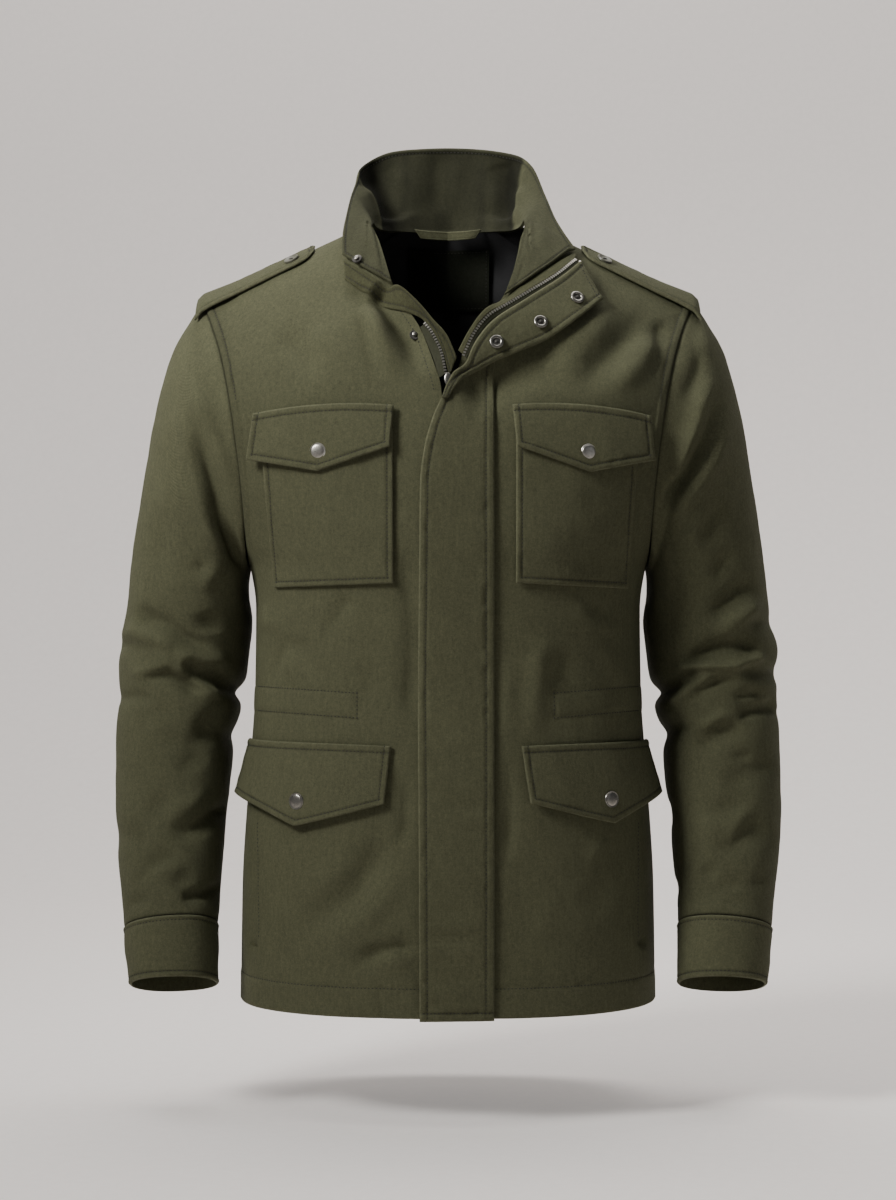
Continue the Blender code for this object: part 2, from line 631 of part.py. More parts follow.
def add_storm_flap(material):
    """The flap over the zip, up to where its top turns out into the lapel."""
    table = Table(STORM_FLAP_COLUMNS, STORM_FLAP_ROWS)
    z = table.spread("z", 22)
    t = np.linspace(0, 1, 5)[None, :]
    left, right = table.read("left_x", z)[:, None], table.read("right_x", z)[:, None]
    low, high = table.read("right_lift", z)[:, None], table.read("left_lift", z)[:, None]
    lift = low + (high - low) * np.sqrt(1 - t)
    x = blend(left, right, t)
    return add_laid("storm_flap", x, z[:, None] + 0 * x, lift, FLAP_WALL, material)


def add_chest_bag(side, top_out, top_in, low_out, low_in, material):
    """A flat pocket bag on the chest, between its four corners."""
    top_out, top_in, low_out, low_in = map(np.array, (top_out, top_in, low_out, low_in))
    down = np.linspace(0, 1, 6)[:, None, None]
    across = np.linspace(0, 1, 6)[None, :, None]
    place = blend(blend(top_out, top_in, across), blend(low_out, low_in, across), down)
    x, z = place[..., 0], place[..., 1]
    return add_laid(f"chest_pocket_{side}", x, z, ON_PANEL, POCKET_WALL, material)


def add_flap(name, top_out, top_bow, top_in, low_in, tip, low_out, flare, lift, material):
    """A pocket flap with a pointed lower edge. flare lifts its outer lower corner."""
    t = np.linspace(0, 1, 9)
    top = blend(np.array(top_out), np.array(top_in), t[:, None])
    top[:, 1] += top_bow * 4 * t * (1 - t)
    outer_half = blend(np.array(low_out), np.array(tip), np.clip(2 * t, 0, 1)[:, None])
    low = blend(outer_half, np.array(low_in), np.clip(2 * t - 1, 0, 1)[:, None])
    down = np.linspace(0, 1, 4)[:, None]
    x = blend(top[None, :, 0], low[None, :, 0], down)
    z = blend(top[None, :, 1], low[None, :, 1], down)
    rise = lift + flare * (1 - t[None, :]) ** 2 * down + 0.0008 * down
    return add_laid(name, x, z, rise, FLAP_WALL, material)


def add_epaulette(name, side, material):
    """A shoulder strap along the shoulder line, its outer end over the armhole seam."""
    table = Table(EPAULETTE_COLUMNS, EPAULETTE_ROWS)
    x = table.spread("x", 7)
    middle, half = table.read("mid_y", x), table.read("half_width", x)
    lift = table.read("lift", x)[:, None]
    t = np.linspace(-1, 1, 6)
    y = middle[:, None] + half[:, None] * t[None, :]
    x = np.broadcast_to(x[:, None], y.shape)
    inner = shoulder_point(x, y, lift)
    outer = shoulder_point(x, y, lift + FLAP_WALL)
    for grid in (inner, outer):
        grid[..., 0] *= side
    return add_shell(name, outer, inner, material)


def frame_at(point, normal):
    """Two unit directions across a normal."""
    normal = normal / np.linalg.norm(normal)
    right = np.cross((0.0, 0.0, 1.0), normal)
    right /= np.linalg.norm(right)
    return right, np.cross(normal, right), normal


def add_turned(name, point, normal, profile, material, sides=12):
    """A round piece on the cloth. profile holds (radius, height) from the axis or inner rim."""
    right, up, normal = frame_at(point, normal)
    angles = np.linspace(0, 2 * np.pi, sides, endpoint=False)
    points, faces, rings = [], [], []
    for radius, height in profile:
        if radius == 0:
            rings.append([len(points)])
            points.append(point + normal * height)
            continue
        rings.append([len(points) + i for i in range(sides)])
        for angle in angles:
            across = right * np.cos(angle) + up * np.sin(angle)
            points.append(point + across * radius + normal * height)
    pairs = list(zip(rings, rings[1:]))
    if profile[0][0] > 0:
        pairs.append((rings[-1], rings[0]))
    for low, high in pairs:
        for i in range(sides):
            j = (i + 1) % sides
            ring = [low[i % len(low)], low[j % len(low)], high[j % len(high)], high[i % len(high)]]
            faces.append(list(dict.fromkeys(ring)))
    return add_solid(name, points, faces, material)


def on_front(x, z, lift):
    """A point over the front and the normal there."""
    base = form_point(x, z, 0.0)
    point = form_point(x, z, lift)
    return point, point - base


def add_snap(place, material):
    """A domed snap cap."""
    name, x, z, lift = place
    radius, height = SNAP_RADIUS, SNAP_HEIGHT
    profile = (
        (0, 0), (radius * 0.92, 0), (radius, height * 0.35), (radius * 0.8, height * 0.8),
        (radius * 0.4, height), (0, height * 1.04),
    )
    return add_turned(name, *on_front(x, z, lift), profile, material)


def add_socket(place, material):
    """A snap's open socket ring."""
    name, x, z, lift = place
    height = SOCKET_HEIGHT
    middle = (SOCKET_RADIUS + SOCKET_HOLE) / 2
    profile = (
        (SOCKET_HOLE, 0), (SOCKET_RADIUS, 0), (SOCKET_RADIUS, height * 0.4),
        (middle, height), (SOCKET_HOLE, height * 0.6),
    )
    return add_turned(name, *on_front(x, z, lift), profile, material)


def add_stud(place, material):
    """A snap's stud."""
    name, x, z, lift = place
    profile = (
        (0, 0), (STUD_RADIUS, 0), (STUD_RADIUS, 0.0008), (STUD_RADIUS * 0.5, 0.0010),
        (STUD_RADIUS * 0.5, 0.0026), (0, 0.0030),
    )
    return add_turned(name, *on_front(x, z, lift), profile, material)


def add_epaulette_button(name, side, material):
    x, y = np.array([EPAULETTE_BUTTON_X]), np.array([EPAULETTE_BUTTON_Y])
    point = shoulder_point(x, y, EPAULETTE_BUTTON_LIFT)[0]
    along = shoulder_point(x + 0.002, y, EPAULETTE_BUTTON_LIFT)[0] - point
    across = shoulder_point(x, y - 0.002, EPAULETTE_BUTTON_LIFT)[0] - point
    normal = np.cross(across, along)
    normal *= np.sign(normal[2])
    point = point * (side, 1, 1)
    normal = normal * (side, 1, 1)
    profile = (
        (0, 0), (BUTTON_RADIUS * 0.9, 0), (BUTTON_RADIUS, 0.0010), (BUTTON_RADIUS * 0.93, 0.0022),
        (BUTTON_RADIUS * 0.6, 0.0018), (0, 0.0018),
    )
    return add_turned(name, point, normal, profile, material)


def add_zip_chain(material):
    """The closed zip under the storm flap, from the slider to the hem."""
    z = np.linspace(HEM_Z + 0.012, -0.152, 15)[:, None]
    x = np.linspace(-0.0035, 0.0035, 3)[None, :] + 0 * z
    return add_laid("zip_chain", x, z + 0 * x, ZIP_CHAIN_LIFT, ZIP_CHAIN_WALL, material)


def add_zip_slider(material):
    z = np.linspace(-0.1510, -0.1398, 4)[:, None]
    half = np.array([0.0026, 0.0040, 0.0042, 0.0034])[:, None]
    x = half * np.linspace(-1, 1, 3)[None, :]
    lift = np.full((4, 3), 0.0004)
    return add_laid("zip_slider", x, z + 0 * x, lift, 0.0026, material)


def add_zip_pull(material):
    z = np.linspace(-0.1810, -0.1515, 4)[:, None]
    x = np.linspace(-0.0024, 0.0024, 2)[None, :] + 0 * z
    return add_laid("zip_pull", x, z + 0 * x, 0.0024 + 0 * x, 0.0010, material)


def add_back_patch(name, box, material):
    """A flat patch sewn to the lining at the back of the neck."""
    left, right, low, high = box
    x, z = np.meshgrid(np.linspace(left, right, 4), np.linspace(low, high, 4))
    back = lining_point(x, z, LINING_WALL + LABEL_IN)
    return add_shell(name, back, back - (0.0, LABEL_WALL, 0.0), material)


def add_hanger_loop(material):
    """A strap that bows forward below the back neck seam."""
    t = np.linspace(-1, 1, 9)
    drop = np.array([0.0, 1.0])[:, None]
    x = blend(LOOP_TOP, LOOP_LOW, drop) * t[None, :]
    z = blend(BACK_NECK_Z + 0.0030, BACK_NECK_Z - 0.0055, drop) + 0 * x
    bow = 0.006 + 0.005 * (1 - t[None, :] ** 4)
    y = depth(x, 0 * x + BACK_NECK_Z - 0.004, "back") - LINING_IN - LINING_WALL - bow
    outer = np.stack([x, y, z], -1)
    inner = outer + (0.0, LOOP_WALL, 0.0)
    return add_shell("hanger_loop", outer, inner, material)


def build_cloth(cloth, lining, tape):
    add_back(cloth)
    add_neck_lining(lining)
    for name, side, edge in (("right", -1, RIGHT_EDGE_ROWS), ("left", 1, LEFT_EDGE_ROWS)):
        add_front(f"front_{name}", edge, side, cloth)
        add_sleeve(f"sleeve_{name}", side, cloth)
        add_cuff(f"cuff_{name}", side, cloth)
        add_epaulette(f"epaulette_{name}", side, cloth)
    add_collar(cloth)
    add_storm_flap(cloth)
    add_strip("storm_flap_lapel", LAPEL_ROWS, 13, 5, FLAP_WALL, cloth)
    add_strip("zip_guard", ZIP_GUARD_ROWS, 10, 3, PANEL_WALL, cloth)
    add_strip("zip_facing", ZIP_FACING_ROWS, 10, 2, PANEL_WALL, cloth)
    add_strip("zip_tape_right", RIGHT_TAPE_ROWS, 6, 2, TAPE_WALL, tape)
    add_strip("zip_tape_left", LEFT_TAPE_ROWS, 10, 2, TAPE_WALL, tape)
    for row in CHEST_BAGS:
        add_chest_bag(**dict(zip(CHEST_BAG_COLUMNS, row)), material=cloth)
    for row in FLAPS:
        shape = dict(zip(FLAP_COLUMNS, row))
        lift = CHEST_FLAP_LIFT if shape["name"].startswith("chest") else HIP_FLAP_LIFT
        add_flap(**shape, lift=lift, material=cloth)
    add_hanger_loop(cloth)


def build_neck_fittings(label):
    add_back_patch("neck_label", LABEL_BOX, label)
    add_back_patch("size_tag", SIZE_TAG_BOX, label)


def build_metal(steel, horn):
    for place in POCKET_SNAPS:
        add_snap(place, steel)
    for place in LAPEL_SOCKETS:
        add_socket(place, steel)
    for place in (COLLAR_STUD, FRONT_STUD):
        add_stud(place, steel)
    for name, side in (("right", -1), ("left", 1)):
        add_epaulette_button(f"epaulette_button_{name}", side, horn)
    add_zip_chain(steel)
    add_zip_slider(steel)
    add_zip_pull(steel)


def main():
    for leftover in list(bpy.data.objects):
        bpy.data.objects.remove(leftover, do_unlink=True)
    cloth = new_material("olive_twill", (0.075, 0.075, 0.045), 0.85)
    lining = new_material("black_satin", (0.012, 0.012, 0.016), 0.45)
    tape = new_material("zip_tape", (0.030, 0.030, 0.020), 0.9)
    label = new_material("label_cloth", (0.014, 0.015, 0.011), 0.8)
    steel = new_material("aged_steel", (0.42, 0.40, 0.37), 0.35, 1.0)
    horn = new_material("olive_button", (0.050, 0.050, 0.035), 0.4)
    build_cloth(cloth, lining, tape)
    build_neck_fittings(label)
    build_metal(steel, horn)


main()
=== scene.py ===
"""The looks of a men's field jacket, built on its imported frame.

Metres, +Z up. The front faces -Y and +X is the wearer's left. The body of the jacket is one
form: horizontal sections that close over into the shoulder line. Every panel is a thin wall on
that form, and what lies on a panel is made from the panel's own points, moved out. Folds are
soft ridges and troughs, laid out in millimetres on a front drawing.
"""

import itertools
import logging
import math
from dataclasses import dataclass
from enum import Enum

import bpy
import numpy as np
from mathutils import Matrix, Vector


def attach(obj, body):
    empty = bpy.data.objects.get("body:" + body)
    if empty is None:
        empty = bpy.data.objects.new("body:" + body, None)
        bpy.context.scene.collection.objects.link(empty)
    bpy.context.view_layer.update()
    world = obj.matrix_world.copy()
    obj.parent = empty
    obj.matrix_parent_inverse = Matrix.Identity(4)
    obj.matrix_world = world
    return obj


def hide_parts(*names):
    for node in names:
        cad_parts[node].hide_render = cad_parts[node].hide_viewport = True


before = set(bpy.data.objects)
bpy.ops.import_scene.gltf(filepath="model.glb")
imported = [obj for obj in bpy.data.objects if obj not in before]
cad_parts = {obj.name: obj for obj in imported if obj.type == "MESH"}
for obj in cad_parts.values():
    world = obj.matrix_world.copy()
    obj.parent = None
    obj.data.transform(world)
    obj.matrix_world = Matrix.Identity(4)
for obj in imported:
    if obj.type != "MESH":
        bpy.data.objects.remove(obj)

LOG = logging.getLogger("field_jacket")
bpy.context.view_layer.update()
BODY = "root"
MILLIMETRE = 0.001
Array = np.ndarray

# Front drawing: where it is drawn from, and how high
VIEW_DISTANCE = 2.4
VIEW_HEIGHT = -0.313


class Slot(Enum):
    """Material slots of the record."""

    CLOTH = "cloth"
    LINING = "lining"
    TAPE = "zip_tape"
    LABEL = "label"
    METAL = "metal"
    BUTTON = "button"


class Face(Enum):
    """The two faces of the body form."""

    FRONT = -1
    BACK = 1


class Edge(Enum):
    """The borders of a grid of points: its first and last row and column."""

    FIRST_ROW = "first row"
    LAST_ROW = "last row"
    FIRST_COLUMN = "first column"
    LAST_COLUMN = "last column"


BOTH_SIDES = (Edge.FIRST_COLUMN, Edge.LAST_COLUMN)
SIDES_AND_FOOT = (*BOTH_SIDES, Edge.LAST_ROW)


class Side(Enum):
    """The wearer's two sides."""

    RIGHT = -1
    LEFT = 1

    @property
    def word(self) -> str:
        """The side's name as the nodes have it."""
        return self.name.lower()


# Numbers


def smooth(keys: Array, values: Array, at: Array) -> Array:
    """A cubic curve that adds no bump between its points.

    Args:
        keys: rising positions of the points.
        values: value of each point, a number or an array of them.
        at: positions to read.

    Returns:
        The values there, in the shape of at followed by that of one value.
    """
    keys, values, at = np.asarray(keys, float), np.asarray(values, float), np.asarray(at, float)
    tail = (1,) * (values.ndim - 1)
    step = np.diff(keys)
    rise = np.diff(values, axis=0) / step.reshape(-1, *tail)
    slope = np.empty_like(values)
    slope[0], slope[-1] = rise[0], rise[-1]
    product = rise[:-1] * rise[1:]
    total = np.where(product > 0, rise[:-1] + rise[1:], 1.0)
    slope[1:-1] = np.where(product > 0, 2 * product / total, 0.0)
    at = np.clip(at, keys[0], keys[-1])
    cell = np.clip(np.searchsorted(keys, at, side="right") - 1, 0, len(keys) - 2)
    t = ((at - keys[cell]) / step[cell]).reshape(at.shape + tail)
    width = step[cell].reshape(at.shape + tail)
    return (
        (2 * t**3 - 3 * t**2 + 1) * values[cell]
        + (t**3 - 2 * t**2 + t) * width * slope[cell]
        + (3 * t**2 - 2 * t**3) * values[cell + 1]
        + (t**3 - t**2) * width * slope[cell + 1]
    )


def ease(t: Array) -> Array:
    """Rises softly from 0 to 1 as t does."""
    t = np.clip(t, 0, 1)
    return t * t * (3 - 2 * t)


def blend(a: Array | float, b: Array | float, t: Array | float) -> Array | float:
    """The value a share t of the way from a to b."""
    return a + (b - a) * t


def graded(count: int, pull: float = 0.45) -> Array:
    """Steps from 0 to 1 that are finer near both ends, by pull."""
    t = np.linspace(0, 1, count)
    return (1 - pull) * t + pull * (0.5 - 0.5 * np.cos(np.pi * t))


def noise(points: Array, size: float | tuple, seed: int) -> Array:
    """Smooth noise from -1 to 1.

    Args:
        points: places, with their coordinates along the last axis.
        size: distance between lumps, one for all coordinates or one for each.
        seed: picks the pattern.

    Returns:
        One value for each place.
    """
    cell = points / np.asarray(size, float)
    base = np.floor(cell).astype(np.int64)
    t = cell - base
    t = t**3 * (t * (t * 6 - 15) + 10)
    primes = np.array([73856093, 19349663, 83492791], np.int64)[: points.shape[-1]]
    total = np.zeros(points.shape[:-1])
    for corner in itertools.product((0, 1), repeat=points.shape[-1]):
        key = ((base + corner) * primes).sum(-1) + seed * 668265263
        key = (key ^ (key >> 13)) * 1274126177 & 0x7FFFFFFF
        key = (key ^ (key >> 16)) & 0xFFFF
        share = np.where(corner, t, 1 - t).prod(-1)
        total += share * (key / 32767.5 - 1)
    return total


def unit(vectors: Array) -> Array:
    """Vectors made one long."""
    return vectors / np.maximum(np.linalg.norm(vectors, axis=-1, keepdims=True), 1e-12)


def elevation(points: Array) -> Array:
    """Where points fall on the front drawing, in metres."""
    scale = VIEW_DISTANCE / (VIEW_DISTANCE + points[..., 1])
    up = VIEW_HEIGHT + (points[..., 2] - VIEW_HEIGHT) * scale
    return np.stack([points[..., 0] * scale, up], -1)


class Table:
    """Rows of named columns, read smoothly between the rows."""

    def __init__(self, columns: tuple, rows: tuple) -> None:
        """Takes the columns' names and the rows of values."""
        self.columns = columns
        self.rows = np.array(rows, float)

    def column(self, name: str) -> Array:
        """One column's values."""
        return self.rows[:, self.columns.index(name)]

    def read(self, name: str, key: Array) -> Array:
        """A column at any value of the first column, which rises."""
        return smooth(self.rows[:, 0], self.column(name), key)

    def spread(self, name: str, steps: int | Array) -> Array:
        """A column from the first row to the last: a number of even steps, or shares of the way."""
        share = np.linspace(0, 1, steps) if isinstance(steps, int) else steps
        last = len(self.rows) - 1
        return smooth(np.arange(last + 1.0), self.column(name), share * last)


# Folds


@dataclass(frozen=True)
class Crease:
    """A soft ridge or trough in cloth.

    Args:
        path: its line on the front drawing, in millimetres.
        height: how far it stands out, in millimetres. A trough's height is negative.
        width: distance from its line to where it has mostly levelled out, in millimetres.
        fade: shares of its length over which it rises at its start and sinks at its end.
        lean: how much wider it is left of its line than right of it, from -1 to 1.
    """

    path: tuple
    height: float
    width: float
    fade: tuple = (0.4, 0.4)
    lean: float = 0.0

    SPREAD = 1.06
    REACH = 3.2
    CORE = 0.65
    SKIRT = 1.9
    LEAST = 0.2

    def mirrored(self, down: float = 0.0, scale: float = 1.0) -> "Crease":
        """The same crease on the other side of the jacket, moved down and made higher by scale."""
        path = tuple((-x, z - down) for x, z in self.path)
        return Crease(path, self.height * scale, self.width, self.fade, -self.lean)

    def relief(self, place: Array) -> Array:
        """How far out the crease moves each place on the drawing, in metres.

        Args:
            place: places on the front drawing.

        Returns:
            One height for each place.
        """
        knots = np.array(self.path, float) * MILLIMETRE
        width = self.SPREAD * self.width * MILLIMETRE
        out = np.zeros(place.shape[:-1])
        reach = self.REACH * width
        near = np.all((place > knots.min(0) - reach) & (place < knots.max(0) + reach), axis=-1)
        if not near.any():
            return out
        count = len(knots)
        line = smooth(np.arange(float(count)), knots, np.linspace(0, count - 1, 6 * count))
        lengths = np.linalg.norm(np.diff(line, axis=0), axis=1)
        starts = np.concatenate([[0.0], np.cumsum(lengths)])
        spots = place[near]
        best = np.full(len(spots), np.inf)
        turn, along = np.zeros(len(spots)), np.zeros(len(spots))
        for a, b, start, length in zip(line, line[1:], starts, lengths):
            across = spots - a
            way = (b - a) / length
            t = np.clip(across @ way, 0, length)
            gap = across - t[:, None] * way
            far = np.hypot(gap[:, 0], gap[:, 1])
            closer = far < best
            best = np.where(closer, far, best)
            turn = np.where(closer, way[0] * across[:, 1] - way[1] * across[:, 0], turn)
            along = np.where(closer, (start + t) / starts[-1], along)
        reach = np.maximum(width * (1 + self.lean * np.tanh(turn / width)), self.LEAST * width)
        core = np.exp(-((best / reach) ** 2))
        skirt = np.exp(-((best / (self.SKIRT * reach)) ** 2))
        bell = self.CORE * core + (1 - self.CORE) * skirt
        if self.fade[0] > 0:
            bell *= ease(along / self.fade[0])
        if self.fade[1] > 0:
            bell *= ease((1 - along) / self.fade[1])
        out[near] = bell * self.height * MILLIMETRE
        return out


def crease_set(*rows: tuple) -> tuple:
    """Creases from rows of path, height, width, fade and lean."""
    return tuple(Crease(*row) for row in rows)


def creased(place: Array, creases: tuple) -> Array:
    """What all the creases together add at each place on the drawing, in metres.

    Their lines wander a little, and each rises and sinks unevenly along its way.

    Args:
        place: places on the front drawing.
        creases: the creases.

    Returns:
        One height for each place.
    """
    drift = np.stack([noise(place, 0.030, 401), noise(place, 0.026, 402)], -1)
    jitter = 0.0012 * np.roll(drift, 1, axis=-1) * noise(place, 0.011, 403)[..., None]
    wander = place + 0.0028 * drift + jitter
    total = np.zeros(place.shape[:-1])
    for crease in creases:
        total += crease.relief(wander)
    return total * (1 + 0.25 * noise(place, 0.035, 404))


FRONT_CREASES = crease_set(
    (((-72, -42), (-54, -72), (-39, -96), (-26, -116), (-16, -130)), -6.5, 9.0, (0.1, 0.45), 0.3),
    (((-92, -40), (-76, -72), (-58, -102), (-40, -128)), 1.6, 13.0, (0.2, 0.5)),
    (((-84, -49), (-69, -77), (-54, -103), (-38, -131)), 4.0, 9.0, (0.3, 0.5)),
    (((-88, -38), (-80, -65), (-76, -89), (-69, -110), (-60, -148)), -2.6, 7.5, (0.1, 0.5)),
    (((-157, -73), (-142, -94), (-127, -114), (-110, -137)), -1.5, 13.0),
    (((-130, -70), (-112, -96), (-98, -130)), 1.2, 13.0),
    (((190, -60), (172, -82), (153, -103), (134, -125), (116, -150)), -2.8, 11.0, (0.3, 0.4)),
    (((202, -88), (178, -116), (159, -136), (146, -155)), 2.2, 11.0, (0.3, 0.4)),
    (((153, -56), (136, -80), (116, -105)), 1.6, 12.0),
    (((13, -158), (45, -131), (82, -112), (118, -92)), -4.5, 17.0, (0.2, 0.3)),
    (((197, -70), (196, -105), (191, -140)), -1.6, 6.0, (0.2, 0.4)),
    (((-43, -270), (-36, -336), (-34, -392), (-33, -480)), -2.2, 8.0, (0.3, 0.3)),
    (((-93, -333), (-105, -349), (-116, -374)), -1.5, 6.0, (0.1, 0.5)),
    (((-164, -432), (-161, -396), (-151, -379), (-140, -379), (-130, -392), (-119, -420)), -1.7, 6.5),
    (((-149, -412), (-147, -398), (-144, -418)), 1.0, 7.0),
    (((-185, -338), (-172, -356), (-150, -366)), 1.6, 8.0),
    (((-94, -372), (-90, -404), (-96, -440)), 0.9, 12.0),
    (((-78, -360), (-73, -400), (-70, -445)), -0.9, 8.0),
    (((116, -328), (124, -347), (137, -360), (158, -366)), 1.0, 7.0, (0.3, 0.4)),
    (((130, -334), (142, -349), (158, -353)), -0.7, 8.0, (0.4, 0.4)),
    (((145, -372), (152, -396), (162, -424)), 1.0, 5.6, (0.4, 0.4)),
    (((96, -368), (86, -400), (80, -435), (76, -470)), 1.9, 8.0, (0.3, 0.3)),
    (((114, -380), (106, -404), (102, -430)), -1.6, 9.0),
    (((58, -380), (57, -430), (58, -480)), 0.9, 6.0),
    (((-54, -548), (-72, -583), (-92, -609), (-116, -631), (-144, -654)), -3.0, 11.5, (0.3, 0.4)),
    (((-38, -572), (-63, -616), (-95, -650), (-121, -670)), 1.8, 11.0),
    (((-86, -560), (-110, -594), (-142, -622)), 1.5, 12.0),
    (((-26, -656), (-49, -661), (-69, -669), (-92, -686)), -2.6, 6.0, (0.2, 0.4), -0.2),
    (((-28, -671), (-50, -677), (-66, -688)), 1.3, 6.0),
    (((-47, -488), (-40, -534), (-45, -578)), -2.0, 6.0),
    (((-69, -688), (-64, -704), (-66, -735)), -1.0, 3.0, (0.2, 0.0)),
    (((54, -480), (56, -542), (53, -600)), -1.6, 5.0),
    (((153, -557), (138, -570), (127, -585)), 0.8, 5.0),
    (((170, -560), (150, -600), (128, -640)), -0.9, 13.0),
    (((104, -600), (90, -640), (86, -672)), 0.8, 9.0),
    (((-186, -655), (-179, -661)), -1.6, 2.6, (0.2, 0.4)),
    (((186, -653), (179, -661)), -1.6, 2.6, (0.2, 0.4)),
)

BACK_CREASES = crease_set(
    (((-150, -70), (-120, -110), (-96, -160), (-88, -215)), -2.6, 12.0),
    (((-128, -62), (-98, -106), (-70, -160)), 1.8, 12.0),
    (((150, -72), (122, -116), (104, -170), (94, -232)), -2.4, 13.0),
    (((122, -64), (92, -118), (66, -176)), 1.6, 13.0),
    (((-40, -30), (-14, -48), (26, -46), (48, -30)), -1.8, 9.0),
    (((-170, -300), (-140, -352), (-96, -384), (-40, -398)), -2.4, 9.0),
    (((-166, -330), (-130, -372), (-84, -400)), 1.6, 8.0),
    (((172, -310), (138, -356), (90, -382), (36, -396)), -2.2, 9.5),
    (((166, -338), (128, -378), (80, -404)), 1.5, 8.5),
    (((-120, -414), (-60, -424), (10, -420)), -1.4, 8.0),
    (((30, -418), (84, -430), (132, -424)), -1.3, 8.0),
    (((-92, -470), (-104, -540), (-128, -620), (-140, -670)), -2.2, 13.0),
    (((-48, -480), (-54, -560), (-66, -640)), 1.6, 14.0),
    (((40, -470), (52, -560), (58, -660)), -1.8, 13.0),
    (((96, -490), (112, -570), (136, -650)), 1.8, 13.0),
    (((8, -230), (4, -290), (10, -340)), -1.2, 14.0),
)

RIGHT_SLEEVE_CREASES = crease_set(
    (
        ((-244, -112), (-232, -150), (-219, -179), (-205, -200), (-194, -226), (-187, -262)),
        3.4, 8.0, (0.3, 0.3),
    ),
    (
        ((-247, -158), (-234, -193), (-224, -224), (-218, -250), (-207, -275), (-190, -305)),
        -5.5, 7.5, (0.45, 0.1),
    ),
    (
        ((-256, -150), (-243, -187), (-234, -215), (-228, -248), (-220, -273), (-206, -306)),
        2.8, 7.0, (0.3, 0.2),
    ),
    (((-269, -240), (-270, -285), (-268, -325)), -1.7, 10.0),
    (((-234, -74), (-230, -94), (-225, -118)), -1.8, 6.0),
    (((-198, -120), (-200, -150), (-193, -185)), -2.0, 7.0),
    (((-216, -292), (-222, -313), (-233, -330)), 2.0, 6.0),
    (((-233, -298), (-230, -315)), -1.2, 5.0),
    (((-228, -345), (-222, -368)), -2.2, 6.5),
    (
        ((-292, -349), (-278, -355), (-263, -362), (-243, -373), (-222, -383), (-208, -390)),
        -3.8, 6.0, (0.1, 0.4),
    ),
    (((-300, -357), (-286, -367), (-274, -375), (-262, -381), (-252, -390)), 2.6, 6.5, (0.2, 0.4)),
    (((-252, -388), (-262, -397), (-278, -402), (-300, -405)), 2.2, 6.5, (0.4, 0.3)),
    (((-316, -383), (-301, -379), (-288, -379), (-276, -383), (-262, -392)), -2.6, 6.5, (0.0, 0.5)),
    (((-262, -387), (-241, -391), (-226, -395), (-213, -396), (-202, -389)), 2.6, 6.0, (0.4, 0.2)),
    (((-250, -396), (-235, -403), (-219, -408), (-203, -416), (-186, -424)), -5.5, 7.5, (0.2, 0.0)),
    (((-290, -409), (-269, -408), (-252, -411), (-239, -418), (-226, -424)), -3.8, 4.8, (0.25, 0.3)),
    (((-262, -400), (-241, -405), (-225, -415), (-206, -429)), 2.6, 4.5, (0.3, 0.2)),
    (((-316, -427), (-295, -427), (-282, -431), (-271, -436)), -2.0, 5.5, (0.0, 0.4)),
    (((-292, -449), (-271, -444), (-250, -438)), -1.5, 7.0, (0.4, 0.4)),
    (((-277, -461), (-254, -468), (-241, -474), (-222, -482)), -1.8, 8.0, (0.4, 0.4)),
    (((-244, -450), (-226, -459), (-196, -466)), -3.4, 9.0, (0.4, 0.0)),
    (((-258, -494), (-243, -489), (-222, -480)), -1.8, 7.0),
    (((-282, -522), (-269, -530), (-254, -527)), -1.9, 8.0),
    (((-266, -548), (-252, -534), (-239, -523), (-222, -510)), 2.2, 7.0),
    (((-263, -562), (-248, -553), (-234, -546), (-208, -535)), -4.4, 7.5, (0.35, 0.0)),
    (((-312, -556), (-293, -559), (-276, -567)), -2.0, 9.0, (0.0, 0.4)),
    (((-296, -590), (-271, -580), (-244, -573)), -2.4, 8.0, (0.4, 0.4)),
    (((-280, -598), (-263, -590), (-245, -584)), 1.8, 5.5),
    (((-262, -609), (-247, -600), (-230, -588)), -1.6, 5.5),
    (((-250, -617), (-235, -614), (-212, -606)), -3.0, 5.5, (0.3, 0.0)),
    (((-303, -626), (-291, -617), (-280, -608)), -1.3, 4.5),
    (((-296, -606), (-288, -596), (-280, -604)), -1.0, 4.0),
)

